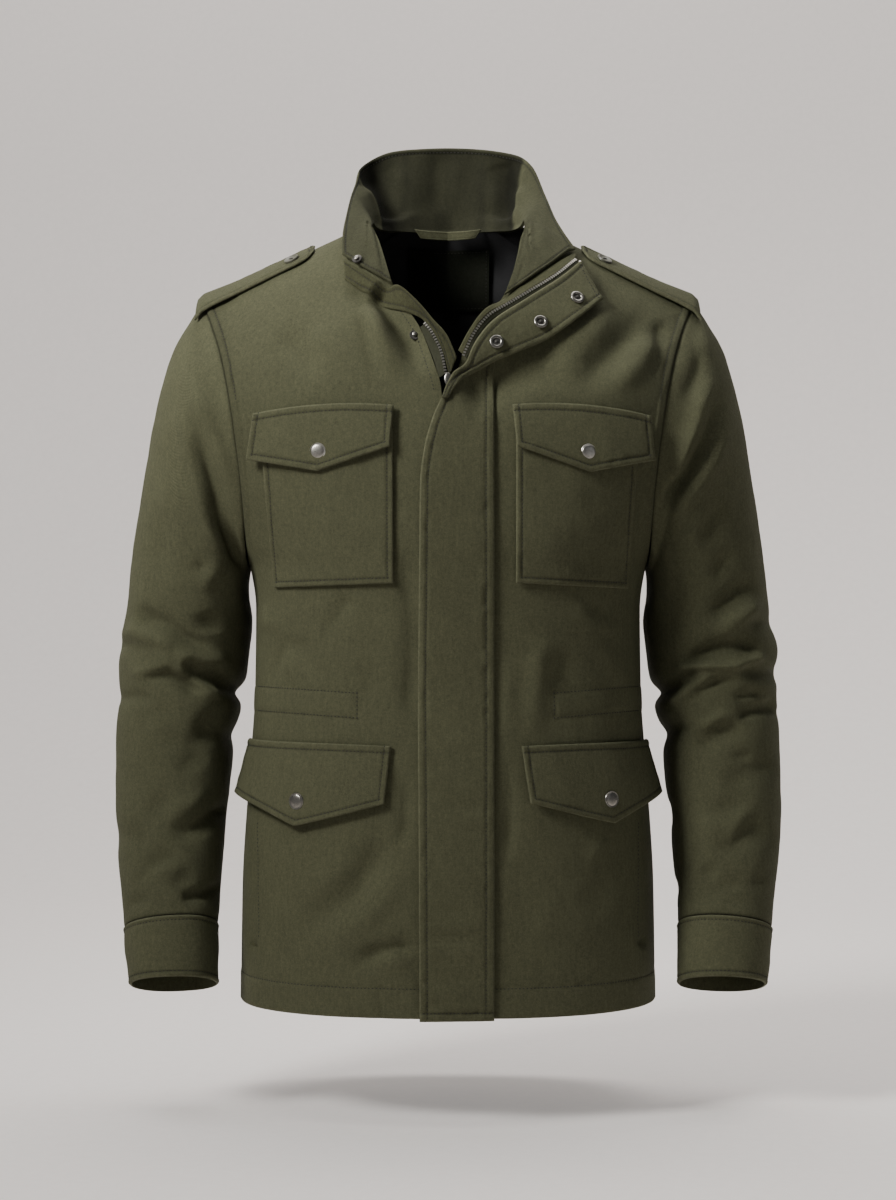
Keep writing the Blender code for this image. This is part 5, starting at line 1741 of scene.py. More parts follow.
@dataclass(frozen=True)
class Collar:
    """The stand collar, upright at the back and fallen open at the front.

    RIGHT_TURN and LEFT_TURN are the heights and places of the lines on the front drawing
    where the collar turns out.
    """

    wall: float = 0.0030
    stations: int = 210
    rows: int = 46
    clear: float = 0.0045
    rise: float = 0.0012
    front_stations: int = 4
    stitch: float = 0.0048
    tuck_in: float = 0.0022
    tuck_down: float = 0.0040

    COLUMNS = ("seam_x", "seam_z", "top_x", "top_y", "top_z")
    ROWS = (
        (-0.0500, -0.0540, -0.0960, -0.064, -0.0235),
        (-0.0560, -0.0320, -0.0965, -0.043, -0.0020),
        (-0.0620, -0.0120, -0.0940, -0.010, 0.0220),
        (-0.0725, 0.0138, -0.0895, 0.026, 0.0500),
        (-0.0640, 0.0148, -0.0810, 0.054, 0.0770),
        (-0.0420, 0.0160, -0.0575, 0.079, 0.0945),
        (0.0000, FORM.BACK_NECK_Z, 0.0000, 0.091, 0.0999),
        (0.0420, 0.0160, 0.0575, 0.079, 0.0945),
        (0.0640, 0.0148, 0.0810, 0.054, 0.0765),
        (0.0725, 0.0138, 0.0910, 0.028, 0.0460),
        (0.0670, -0.0080, 0.0985, -0.004, 0.0200),
        (0.0600, -0.0360, 0.1080, -0.028, -0.0010),
        (0.0500, -0.0650, 0.1170, -0.043, -0.0150),
    )
    RIGHT_TURN = (
        (-0.056, -0.040, 0.0, 0.023, 0.054, 0.080),
        (-0.045, -0.0495, -0.0635, -0.068, -0.079, -0.088),
    )
    LEFT_TURN = ((-0.053, 0.0, 0.056, 0.080), (0.0523, 0.0663, 0.0672, 0.0760))
    TUCK_ROWS = 8

    def borders(self) -> tuple:
        """Points along the seam and along the top edge."""
        table = Table(self.COLUMNS, self.ROWS)
        number = np.arange(float(len(self.ROWS)))
        front = (number < self.front_stations) | (number >= len(number) - self.front_stations)
        seam_x, seam_z = table.column("seam_x"), table.column("seam_z")
        ahead, behind = (FORM.depth(seam_x, seam_z, face) for face in (Face.FRONT, Face.BACK))
        seam_rows = np.stack([seam_x, np.where(front, ahead, behind), seam_z + self.rise], -1)
        top_rows = np.stack([table.column(name) for name in ("top_x", "top_y", "top_z")], -1)
        steps = number[-1] * graded(self.stations, 0.3)
        return smooth(number, seam_rows, steps), smooth(number, top_rows, steps)

    def clear_of_body(self, grid: Array, up: Array) -> None:
        """Brings each point that would sink into the shoulders or chest out to just above them."""
        lift = self.clear * np.clip(up * 4, 0.60, 1)[:, None]
        x, y, z = grid[..., 0], grid[..., 1], grid[..., 2]
        points, normals = FORM.surface(x, z, Face.FRONT, folded=False)
        nearest = (points + normals * lift[..., None])[..., 1]
        low = (y < FORM.RIDGE_Y) & (z < FORM.ridge_z(x)) & (y > nearest)
        grid[..., 1] = np.where(low, nearest, y)
        shoulder = FORM.shoulder_point(x, y, lift)[..., 2]
        over = (np.abs(x) > FORM.NECK_POINT_X) & (z < shoulder)
        grid[..., 2] = np.where(over, shoulder, grid[..., 2])

    def recess(self, place: Array, below_top: Array) -> Array:
        """Painted shade on the collar's inside at each place: darkest in the back between the two turn lines,
        lighter near the top edge, and a little on the turned-out fronts.
        """
        x, z = place[..., 0], place[..., 1]
        right = np.interp(z, *self.RIGHT_TURN)
        left = np.interp(z, *self.LEFT_TURN)
        inside = ease((x - right) / 0.003) * ease((left - x) / 0.005)
        # Painted shade, darkest beside the two lines where the collar turns out.
        near_right = 0.40 * np.exp(-(((x - right) / 0.024) ** 2))
        near_left = 0.34 * np.exp(-(((left - x) / 0.020) ** 2))
        recess_shade = 0.74 + near_right + near_left
        recess_shade = recess_shade * (1 + 0.14 * noise(place, (0.008, 0.05), 77))
        # Painted shade on the turned-out fronts too, more on the wearer's right, which faces the key light.
        turned = 0.42 * ease((right - x) / 0.004) + 0.16 * ease((x - left) / 0.004)
        return -inside * recess_shade * (1 - 0.35 * (1 - ease(below_top / 0.006))) - turned

    def build(self) -> None:
        """Makes the collar."""
        seam, top = self.borders()
        up = graded(self.rows, 0.5)
        outer = blend(seam[None], top[None], up[:, None, None])
        self.clear_of_body(outer, up)
        normals = -grid_normals(outer)
        down = np.linspace(1, 0, self.TUCK_ROWS, endpoint=False)[:, None, None]
        behind = ease((seam[:, 1] + 0.010) / 0.012)[None, :, None]
        inward = -unit(seam * (1, 1, 0))[None]
        lean_in = behind * (inward * self.tuck_in + (0, 0, -self.tuck_down))
        tuck = outer[:1] + down * (lean_in + (0, 0, -0.0004))
        outer = np.concatenate([tuck, outer])
        normals = np.concatenate([np.repeat(normals[:1], self.TUCK_ROWS, axis=0), normals])
        piece = ClothPiece("cloth_collar", outer - normals * self.wall, normals, self.wall)
        free = ease((piece.distance(Edge.FIRST_ROW) - 0.004) / 0.014)
        piece.fold(-creased(elevation(outer), COLLAR_CREASES) * free)
        piece.fold(0.0006 * noise(outer, 0.028, 17) * free)
        edges = (Edge.LAST_ROW, *BOTH_SIDES)
        piece.round_off(*edges)
        border = Hem(stitch=self.stitch, ditch=0.0008, pucker=0.0004)
        piece.hem(border, *edges, seed=21)
        piece.inner = piece.inner - (piece.outer - piece.wall - piece.inner) * 0.8
        for edge in edges:
            for lift, sign in ((0.0001, 1), (-0.0001, -1)):
                line = piece.line(edge, self.stitch, lift)
                if sign < 0:
                    inner = ClothPiece("inner", piece.points, piece.normals, 0.0)
                    inner.outer = piece.inner
                    line = inner.line(edge, self.stitch, lift)
                    line = Seam(line.points, -line.normals)
                STITCHES.add("collar", line.trimmed(self.stitch, self.stitch))
        # Painted shade on the collar's inside: the back between the turn lines, the turned-out fronts and the
        # rows of stitches are drawn darker.
        row = np.exp(-(((piece.nearest(*edges) - self.stitch) / 0.0012) ** 2))
        piece.inner_wear = self.recess(elevation(outer), piece.distance(Edge.LAST_ROW)) - 0.35 * row
        piece.build(TWILL, TWILL, "folded", "collar")


@dataclass(frozen=True)
class Strip:
    """A band that follows the opened edge, between its two borders."""

    name: str
    rows: tuple
    columns: int
    count: int
    wall: float
    finish: ClothFinish
    stitched: tuple = ()
    stitch: float = 0.0055
    lift: float = 0.0

    COLUMNS = ("in_x", "in_z", "in_lift", "out_x", "out_z", "out_lift")

    def grid(self) -> tuple:
        """x, z and lift of the band's points."""
        table = Table(self.COLUMNS, self.rows)
        read = {key: table.spread(key, self.count)[:, None] for key in self.COLUMNS}
        t = graded(self.columns, 0.6)[None, :]
        return tuple(blend(read[f"in_{part}"], read[f"out_{part}"], t) for part in ("x", "z", "lift"))

    def cloth(self) -> ClothPiece:
        """The band's wall of cloth."""
        x, z, lift = self.grid()
        return lay(f"cloth_{self.name}", x, z, lift + self.lift, self.wall)

    def build(self) -> ClothPiece:
        """Makes the band."""
        piece = self.cloth()
        piece.round_off(*Edge)
        for edge in self.stitched:
            piece.hem(Hem(stitch=self.stitch), edge, seed=len(self.name))
            STITCHES.add("neck", piece.line(edge, self.stitch).trimmed(0.003, 0.003))
        piece.build(self.finish, self.finish, "folded", self.name)
        return piece


@dataclass(frozen=True)
class OpenNeck:
    """The zip guard, facing, tapes and turned-out lapel that show where the neck is open."""

    wall: float = 0.0016
    tape_wall: float = 0.0008
    lapel_wall: float = 0.0020

    GUARD = (
        (0.0080, -0.1210, 0.0045, 0.0010, -0.1390, 0.0025),
        (-0.0010, -0.1015, 0.0060, -0.0050, -0.1160, 0.0025),
        (-0.0125, -0.0885, 0.0075, -0.0150, -0.0960, 0.0025),
        (-0.0260, -0.0725, 0.0085, -0.0235, -0.0850, 0.0025),
        (-0.0440, -0.0560, 0.0080, -0.0380, -0.0770, 0.0025),
        (-0.0560, -0.0525, 0.0008, -0.0640, -0.0640, 0.0008),
        (-0.0740, -0.0410, 0.0008, -0.0790, -0.0560, 0.0008),
        (-0.0950, -0.0270, 0.0008, -0.0930, -0.0465, 0.0008),
    )
    FACING = (
        (0.0090, -0.1150, 0.0050, 0.0130, -0.1190, 0.0065),
        (0.0185, -0.0975, 0.0070, 0.0225, -0.0990, 0.0080),
        (0.0315, -0.0805, 0.0085, 0.0345, -0.0845, 0.0085),
        (0.0500, -0.0665, 0.0014, 0.0540, -0.0715, 0.0070),
        (0.0700, -0.0500, 0.0014, 0.0735, -0.0590, 0.0070),
        (0.0960, -0.0320, 0.0014, 0.0950, -0.0450, 0.0070),
        (0.1170, -0.0190, 0.0014, 0.1130, -0.0300, 0.0070),
    )
    RIGHT_TAPE = (
        (-0.0016, -0.1350, 0.0045, -0.0080, -0.1385, -0.0004),
        (-0.0055, -0.1160, 0.0045, -0.0130, -0.1210, -0.0004),
        (-0.0150, -0.0965, 0.0045, -0.0230, -0.0960, -0.0004),
        (-0.0200, -0.0900, 0.0045, -0.0250, -0.0905, -0.0004),
    )
    LEFT_TAPE = (
        (0.0135, -0.1195, 0.0068, 0.0165, -0.1230, 0.0075),
        (0.0230, -0.1000, 0.0084, 0.0260, -0.1040, 0.0074),
        (0.0350, -0.0855, 0.0086, 0.0375, -0.0900, 0.0072),
        (0.0545, -0.0725, 0.0070, 0.0565, -0.0770, 0.0064),
        (0.0740, -0.0600, 0.0070, 0.0765, -0.0640, 0.0064),
        (0.0955, -0.0460, 0.0070, 0.0985, -0.0495, 0.0064),
        (0.1130, -0.0312, 0.0070, 0.1165, -0.0340, 0.0064),
    )
    LAPEL = (
        (-0.0060, -0.1590, 0.0095, 0.0010, -0.1580, 0.0090),
        (-0.0018, -0.1477, 0.0095, 0.0060, -0.1490, 0.0090),
        (0.0044, -0.1360, 0.0095, 0.0140, -0.1400, 0.0082),
        (0.0150, -0.1275, 0.0095, 0.0270, -0.1325, 0.0076),
        (0.0215, -0.1130, 0.0095, 0.0420, -0.1240, 0.0070),
        (0.0300, -0.1000, 0.0095, 0.0545, -0.1185, 0.0070),
        (0.0415, -0.0880, 0.0090, 0.0700, -0.1120, 0.0065),
        (0.0590, -0.0760, 0.0085, 0.0850, -0.1055, 0.0060),
        (0.0785, -0.0630, 0.0085, 0.1045, -0.0940, 0.0060),
        (0.1000, -0.0485, 0.0085, 0.1230, -0.0800, 0.0060),
        (0.1180, -0.0330, 0.0080, 0.1375, -0.0680, 0.0055),
    )

    def build(self) -> None:
        """Makes the strips and the open zip's teeth."""
        rims = BOTH_SIDES
        Strip("zip_guard", self.GUARD, 26, 110, self.wall, TWILL_SHADED, rims, 0.0042).build()
        Strip("zip_facing", self.FACING, 16, 110, self.wall, TWILL_SHADED).build()
        right = Strip("zip_tape_right", self.RIGHT_TAPE, 10, 60, self.tape_wall, TAPE).build()
        left = Strip("zip_tape_left", self.LEFT_TAPE, 10, 110, self.tape_wall, TAPE).build()
        lapel = Strip("storm_flap_lapel", self.LAPEL, 44, 150, self.lapel_wall, TWILL, rims, 0.0056).build()
        STITCHES.add("neck", lapel.line(Edge.LAST_ROW, 0.0056).trimmed(0.004, 0.004))
        teeth = [right.line(Edge.FIRST_COLUMN, 0.0006, 0.0), left.line(Edge.FIRST_COLUMN, 0.0002, 0.0)]
        REPEATER.set_along("zip_teeth", teeth, TOOTH, TEETH, 5)


@dataclass(frozen=True)
class StormFlap:
    """The flap over the zip, up to where its top turns out into the lapel."""

    wall: float = 0.0020
    rows: int = 330
    columns: int = 46
    free_stitch: float = 0.0068
    sewn_stitch: float = 0.0075
    hem_stitch: float = 0.0072
    ripple: float = 0.0014
    top_slant: float = 0.0150

    COLUMNS = ("z", "left_x", "right_x", "left_lift", "right_lift")
    ROWS = (
        (-0.7055, -0.0247, 0.0405, 0.0050, 0.0012),
        (-0.5600, -0.0255, 0.0408, 0.0050, 0.0012),
        (-0.4240, -0.0264, 0.0408, 0.0050, 0.0012),
        (-0.3000, -0.0252, 0.0408, 0.0052, 0.0012),
        (-0.2300, -0.0243, 0.0408, 0.0056, 0.0012),
        (-0.2000, -0.0205, 0.0408, 0.0058, 0.0012),
        (-0.1750, -0.0135, 0.0410, 0.0058, 0.0012),
        (-0.1600, -0.0070, 0.0412, 0.0058, 0.0012),
        (-0.1480, -0.0010, 0.0415, 0.0058, 0.0012),
        (-0.1330, 0.0095, 0.0420, 0.0048, 0.0012),
    )

    def build(self) -> None:
        """Makes the flap, its ripples and its stitches."""
        table = Table(self.COLUMNS, self.ROWS)
        z = crowded(self.ROWS[0][0], self.ROWS[-1][0], self.rows, ((self.ROWS[0][0], 0.012, 2.5),))
        t = graded(self.columns, 0.75)[None, :]
        left, right = table.read("left_x", z)[:, None], table.read("right_x", z)[:, None]
        low, high = table.read("right_lift", z)[:, None], table.read("left_lift", z)[:, None]
        lift = low + (high - low) * np.sqrt(1 - t)
        x = blend(left, right, t)
        z = z[:, None] + 0 * x
        z = z + self.top_slant * t * ease((z + 0.175) / 0.042)
        piece = lay("cloth_storm_flap", x, z, lift, self.wall)
        free = np.sin(np.pi * np.clip(t, 0.03, 0.97)) ** 0.7
        down = 0.55 + 0.9 * ease((-0.30 - z) / 0.40)
        across = noise(np.stack([x * 0.5 + 0.15 * z, z], -1), (0.030, 0.0115), 7)
        piece.fold(0.45 * self.ripple * (1 + across) * free * down)
        edge_wave = noise(np.stack([0 * z, z], -1), (1.0, 0.009), 19) * np.exp(-((t / 0.25) ** 2))
        piece.fold(0.0004 * (1 + edge_wave) * down)
        piece.round_off(Edge.FIRST_COLUMN, Edge.FIRST_ROW, Edge.LAST_COLUMN)
        rims = (
            (Edge.FIRST_COLUMN, self.free_stitch), (Edge.LAST_COLUMN, self.sewn_stitch),
            (Edge.FIRST_ROW, self.hem_stitch),
        )
        for edge, stitch in rims:
            piece.hem(Hem(stitch=stitch, ditch=0.0008, pucker=0.0007), edge, seed=31)
            STITCHES.add("storm_flap", piece.line(edge, stitch).trimmed(0.004, 0.002))
        piece.build(TWILL, TWILL, "hung", "storm_flap")


@dataclass(frozen=True)
class ChestBag:
    """A flat pocket bag on the chest, between its four corners."""

    side: Side
    top_out: tuple
    top_in: tuple
    low_out: tuple
    low_in: tuple
    wall: float = 0.0016
    lift: float = 0.0021
    count: int = 76
    stitch: float = 0.0052
    fill: float = 0.0022
    rumple: float = 0.0004

    def build(self) -> None:
        """Makes the bag."""
        down, across = graded(self.count, 0.6)[:, None, None], graded(self.count, 0.6)[None, :, None]
        top = blend(np.array(self.top_out), np.array(self.top_in), across)
        low = blend(np.array(self.low_out), np.array(self.low_in), across)
        place = blend(top, low, down)
        name = f"chest_pocket_{self.side.word}"
        piece = lay(f"cloth_{name}", place[..., 0], place[..., 1], self.lift, self.wall)
        rims = SIDES_AND_FOOT
        middle, drop = np.clip(across[..., 0], 0, 1), np.clip(down[..., 0], 0, 1)
        full = np.sin(np.pi * middle) * np.sin(np.pi * drop) ** 0.6
        lumps = noise(piece.points, 0.022, 44 + self.side.value)
        piece.fold(self.fill * full + self.rumple * lumps * full)
        piece.round_off(*rims)
        piece.hem(Hem(stitch=self.stitch, ditch=0.0006, pucker=0.0005), *rims, seed=12)
        for edge in rims:
            cut = self.stitch if edge is Edge.LAST_ROW else 0.0
            STITCHES.add(f"pocket_{self.side.word}", piece.line(edge, self.stitch).trimmed(cut, self.stitch))
        piece.build(TWILL, TWILL, "laid", name)


@dataclass(frozen=True)
class PocketFlap:
    """A pocket flap with a pointed lower edge."""

    name: str
    top_out: tuple
    top_bow: float
    top_in: tuple
    low_in: tuple
    tip: tuple
    low_out: tuple
    flare: float
    lift: float
    stand_off: float = 0.0024
    wall: float = 0.0020
    rows: int = 58
    columns: int = 106
    stitch: float = 0.0056
    top_stitch: float = 0.0062
    belly: float = 0.0007
    ripple: float = 0.0006

    def build(self) -> None:
        """Makes the flap."""
        t = crowded(0, 1, self.columns, ((0, 0.05, 3.0), (1, 0.05, 3.0), (0.5, 0.03, 1.6)))
        top = blend(np.array(self.top_out), np.array(self.top_in), t[:, None])
        top[:, 1] += self.top_bow * 4 * t * (1 - t)
        outer_half = blend(np.array(self.low_out), np.array(self.tip), np.clip(2 * t, 0, 1)[:, None])
        low = blend(outer_half, np.array(self.low_in), np.clip(2 * t - 1, 0, 1)[:, None])
        down = graded(self.rows, 0.55)[:, None]
        x = blend(top[None, :, 0], low[None, :, 0], down)
        z = blend(top[None, :, 1], low[None, :, 1], down)
        rise = self.lift + self.flare * (1 - t[None, :]) ** 2 * down
        rise = rise + self.stand_off * down**1.6
        rise = rise + self.belly * np.sin(np.pi * t[None, :]) * np.sin(np.pi * down)
        piece = lay(f"cloth_{self.name}", x, z, rise, self.wall)
        wave = noise(np.stack([x, z], -1), (0.020, 0.050), 51)
        piece.fold(self.ripple * (1 + wave) * ease(down))
        rims = SIDES_AND_FOOT
        piece.round_off(*rims, Edge.FIRST_ROW)
        piece.hem(Hem(stitch=self.stitch, puff=0.0004, ditch=0.0006, pucker=0.0006), *rims, seed=14)
        piece.hem(Hem(stitch=self.top_stitch, puff=0.0003, ditch=0.0005), Edge.FIRST_ROW, seed=15)
        for edge in rims:
            cut = self.stitch if edge is Edge.LAST_ROW else 0.001
            STITCHES.add(self.name, piece.line(edge, self.stitch).trimmed(cut, self.stitch))
        STITCHES.add(self.name, piece.line(Edge.FIRST_ROW, self.top_stitch).trimmed(0.002, 0.002))
        piece.build(TWILL, TWILL, "hung", self.name)


@dataclass(frozen=True)
class Epaulette:
    """A shoulder strap along the shoulder line, its outer end over the armhole seam."""

    side: Side
    wall: float = 0.0020
    rows: int = 96
    columns: int = 44
    stitch: float = 0.0052
    base_lift: float = 0.0012
    tip_drop: float = 0.0030
    tip_x: float = 0.2255
    tip_run: float = 0.007
    edge_curl: float = 0.0018

    COLUMNS = ("x", "mid_y", "half_width", "lift")
    ROWS = (
        (0.1235, -0.020, 0.0100, -0.0004),
        (0.1290, -0.020, 0.0200, -0.0004),
        (0.1420, -0.019, 0.0238, 0.0000),
        (0.1850, -0.015, 0.0258, 0.0006),
        (0.2325, -0.008, 0.0275, 0.0040),
    )

    def build(self) -> None:
        """Makes the strap."""
        table = Table(self.COLUMNS, self.ROWS)
        start, end = self.ROWS[0][0], self.ROWS[-1][0]
        x = crowded(start, end, self.rows, ((start, 0.008, 3.5), (end, 0.006, 2.5)))
        middle, half = table.read("mid_y", x), table.read("half_width", x)
        drop = self.tip_drop * ease((x[:, None] - self.tip_x) / self.tip_run)
        lift = table.read("lift", x)[:, None] + self.base_lift - drop
        t = (2 * graded(self.columns, 0.7) - 1)[None, :]
        y = middle[:, None] + half[:, None] * t
        x = np.broadcast_to(x[:, None], y.shape)
        points = FORM.shoulder_point(x, y, lift)
        points[..., 2] += self.edge_curl * np.abs(t) ** 3
        points[..., 0] *= self.side.value
        normals = grid_normals(points)
        normals = normals * np.sign(normals[..., 2:])
        piece = ClothPiece(f"cloth_epaulette_{self.side.word}", points, normals, self.wall)
        rims = (*BOTH_SIDES, Edge.FIRST_ROW)
        piece.round_off(*rims, Edge.LAST_ROW)
        piece.hem(Hem(stitch=self.stitch, puff=0.0005, ditch=0.0009, pucker=0.0004), *rims, seed=16)
        for edge in rims:
            STITCHES.add("epaulettes", piece.line(edge, self.stitch).trimmed(0.004, 0.003))
        piece.build(TWILL, TWILL, "laid", f"epaulette_{self.side.word}")


@dataclass(frozen=True)
class NeckInside:
    """The lining, bare label, size tag and hanger loop inside the back of the neck."""

    lining_in: float = 0.0075
    lining_wall: float = 0.0010
    top_z: float = 0.0135
    low_z: float = -0.300
    top_half: float = 0.046
    low_half: float = 0.150
    label_in: float = 0.0022
    label_wall: float = 0.0006
    label: tuple = (-0.0385, 0.0395, -0.0580, -0.0010)
    size_tag: tuple = (-0.0030, 0.0080, -0.0670, -0.0583)
    loop_top: float = 0.0320
    loop_low: float = 0.0262
    loop_wall: float = 0.0016
    loop_hang: float = 0.0035
    loop_sag: float = 0.0015
    slack: float = 0.010
    fold_depth: float = 0.0022

    def inside(self, x: Array, z: Array, inward: float = 0.0) -> Array:
        """A point on the lining."""
        slack = self.slack * ease((-0.005 - z) / 0.050)
        return np.stack([x, FORM.depth(x, z, Face.BACK) - self.lining_in - inward - slack, z], -1)

    def flat_piece(self, name: str, points: Array, wall: float) -> ClothPiece:
        """A wall that faces forward."""
        normals = np.broadcast_to(np.array([0.0, -1.0, 0.0]), points.shape)
        return ClothPiece(name, points, normals, wall)

    def build(self) -> None:
        """Makes the fittings."""
        z = self.top_z - (self.top_z - self.low_z) * np.linspace(0, 1, 64)[:, None] ** 1.3
        half = np.minimum(self.top_half + (self.top_z - z) * 1.5, self.low_half)
        x = half * np.linspace(-1, 1, 96)[None, :]
        z = z + 0 * x
        piece = self.flat_piece("cloth_neck_lining", self.inside(x, z), self.lining_wall)
        folds = 0.5 + 0.5 * noise(np.stack([x - 0.08 * z, z], -1), (0.011, 0.060), 27)
        beside = ease((self.top_z - z) / 0.02) * ease((np.abs(x) - 0.036) / 0.008)
        piece.fold(-self.fold_depth * folds * beside - 0.0002)
        piece.build(SATIN, SATIN, "hung", "neck_lining")
        self.patch("neck_label", self.label, LABEL, 0.0028)
        self.patch("size_tag", self.size_tag, LABEL, 0.0)
        self.loop()

    def patch(self, name: str, box: tuple, finish: ClothFinish, stitch: float) -> None:
        """A flat patch sewn to the lining."""
        left, right, low, high = box
        x, z = np.meshgrid(np.linspace(left, right, 40), np.linspace(low, high, 34))
        points = self.inside(x, z, self.lining_wall + self.label_in)
        piece = self.flat_piece(f"cloth_{name}", points, self.label_wall)
        rims = tuple(Edge)
        piece.emboss(-0.0002 * (1 - ease(piece.nearest(*rims) / 0.0008)))
        if stitch:
            pull = Hem(ditch=0.0002, ditch_width=0.0008, pucker=0.0001)
            piece.ditch(piece.nearest(*rims) - stitch, pull, 5)
            for edge in rims:
                STITCHES.add("label", piece.line(edge, stitch).trimmed(stitch, stitch))
        piece.build(finish, finish, "laid", name)

    def loop(self) -> None:
        """The hanger loop below the back neck seam."""
        t = np.linspace(-1, 1, 70)
        drop = graded(18, 0.5)[:, None]
        x = blend(self.loop_top, self.loop_low, drop) * t[None, :]
        z = blend(FORM.BACK_NECK_Z + 0.0030, FORM.BACK_NECK_Z - 0.0055, drop) + 0 * x
        bow = 0.006 + 0.005 * (1 - t[None, :] ** 4)
        y = FORM.depth(x, 0 * x + FORM.BACK_NECK_Z - 0.004, Face.BACK)
        y = y - self.lining_in - self.lining_wall - bow
        z = z - self.loop_hang - self.loop_sag * (1 - t[None, :] ** 4)
        piece = self.flat_piece("cloth_hanger_loop", np.stack([x, y + self.loop_wall, z], -1), self.loop_wall)
        piece.round_off(*Edge)
        piece.hem(Hem(stitch=0.0018, puff=0.0002, ditch=0.0003, ditch_width=0.0006), *Edge)
        piece.build(TWILL, TWILL, "laid", "hanger_loop")


# Metal and buttons


@dataclass(frozen=True)
class Turned:
    """A round solid on the cloth, turned from a profile of (radius, height) from its axis."""

    name: str
    place: Array
    normal: Array
    profile: tuple
    finish: object
    sides: int = 40
    scale: tuple = (1.0, 1.0)

    SHARP_ANGLE = 0.8

    def build(self, nodes: tuple = ()) -> bpy.types.Object:
        """Makes the solid."""
        normal = self.normal / np.linalg.norm(self.normal)
        right = np.cross((0.0, 0.0, 1.0), normal)
        right = right / np.linalg.norm(right)
        up = np.cross(normal, right)
        points, rings = [], []
        angles = np.linspace(0, 2 * np.pi, self.sides, endpoint=False)
        for radius, height in self.profile:
            centre = self.place + normal * height
            if radius == 0:
                rings.append([len(points)])
                points.append(centre)
                continue
            rings.append([len(points) + i for i in range(self.sides)])
            for angle in angles:
                across = right * math.cos(angle) * self.scale[0] + up * math.sin(angle) * self.scale[1]
                points.append(centre + across * radius)
        pairs = list(zip(rings, rings[1:]))
        if self.profile[0][0] > 0:
            pairs.append((rings[-1], rings[0]))
        faces = []
        for low, high in pairs:
            for i in range(self.sides):
                j = (i + 1) % self.sides
                ring = [low[i % len(low)], low[j % len(low)], high[j % len(high)], high[i % len(high)]]
                faces.append(list(dict.fromkeys(ring)))
        mesh = bpy.data.meshes.new(self.name)
        mesh.from_pydata([tuple(point) for point in points], [], faces)
        mesh.materials.append(MATERIALS.get(self.finish))
        if enclosed(mesh) < 0:
            mesh.flip_normals()
        mesh.shade_smooth()
        mesh.set_sharp_from_angle(angle=self.SHARP_ANGLE)
        return declare(new_object(self.name, mesh), self.finish.slot, nodes)


def enclosed(mesh: bpy.types.Mesh) -> float:
    """Six times the volume inside a closed mesh, below 0 where it is inside out."""
    mesh.calc_loop_triangles()
    total = 0.0
    for triangle in mesh.loop_triangles:
        a, b, c = (mesh.vertices[i].co for i in triangle.vertices)
        total += a.dot(b.cross(c))
    return total


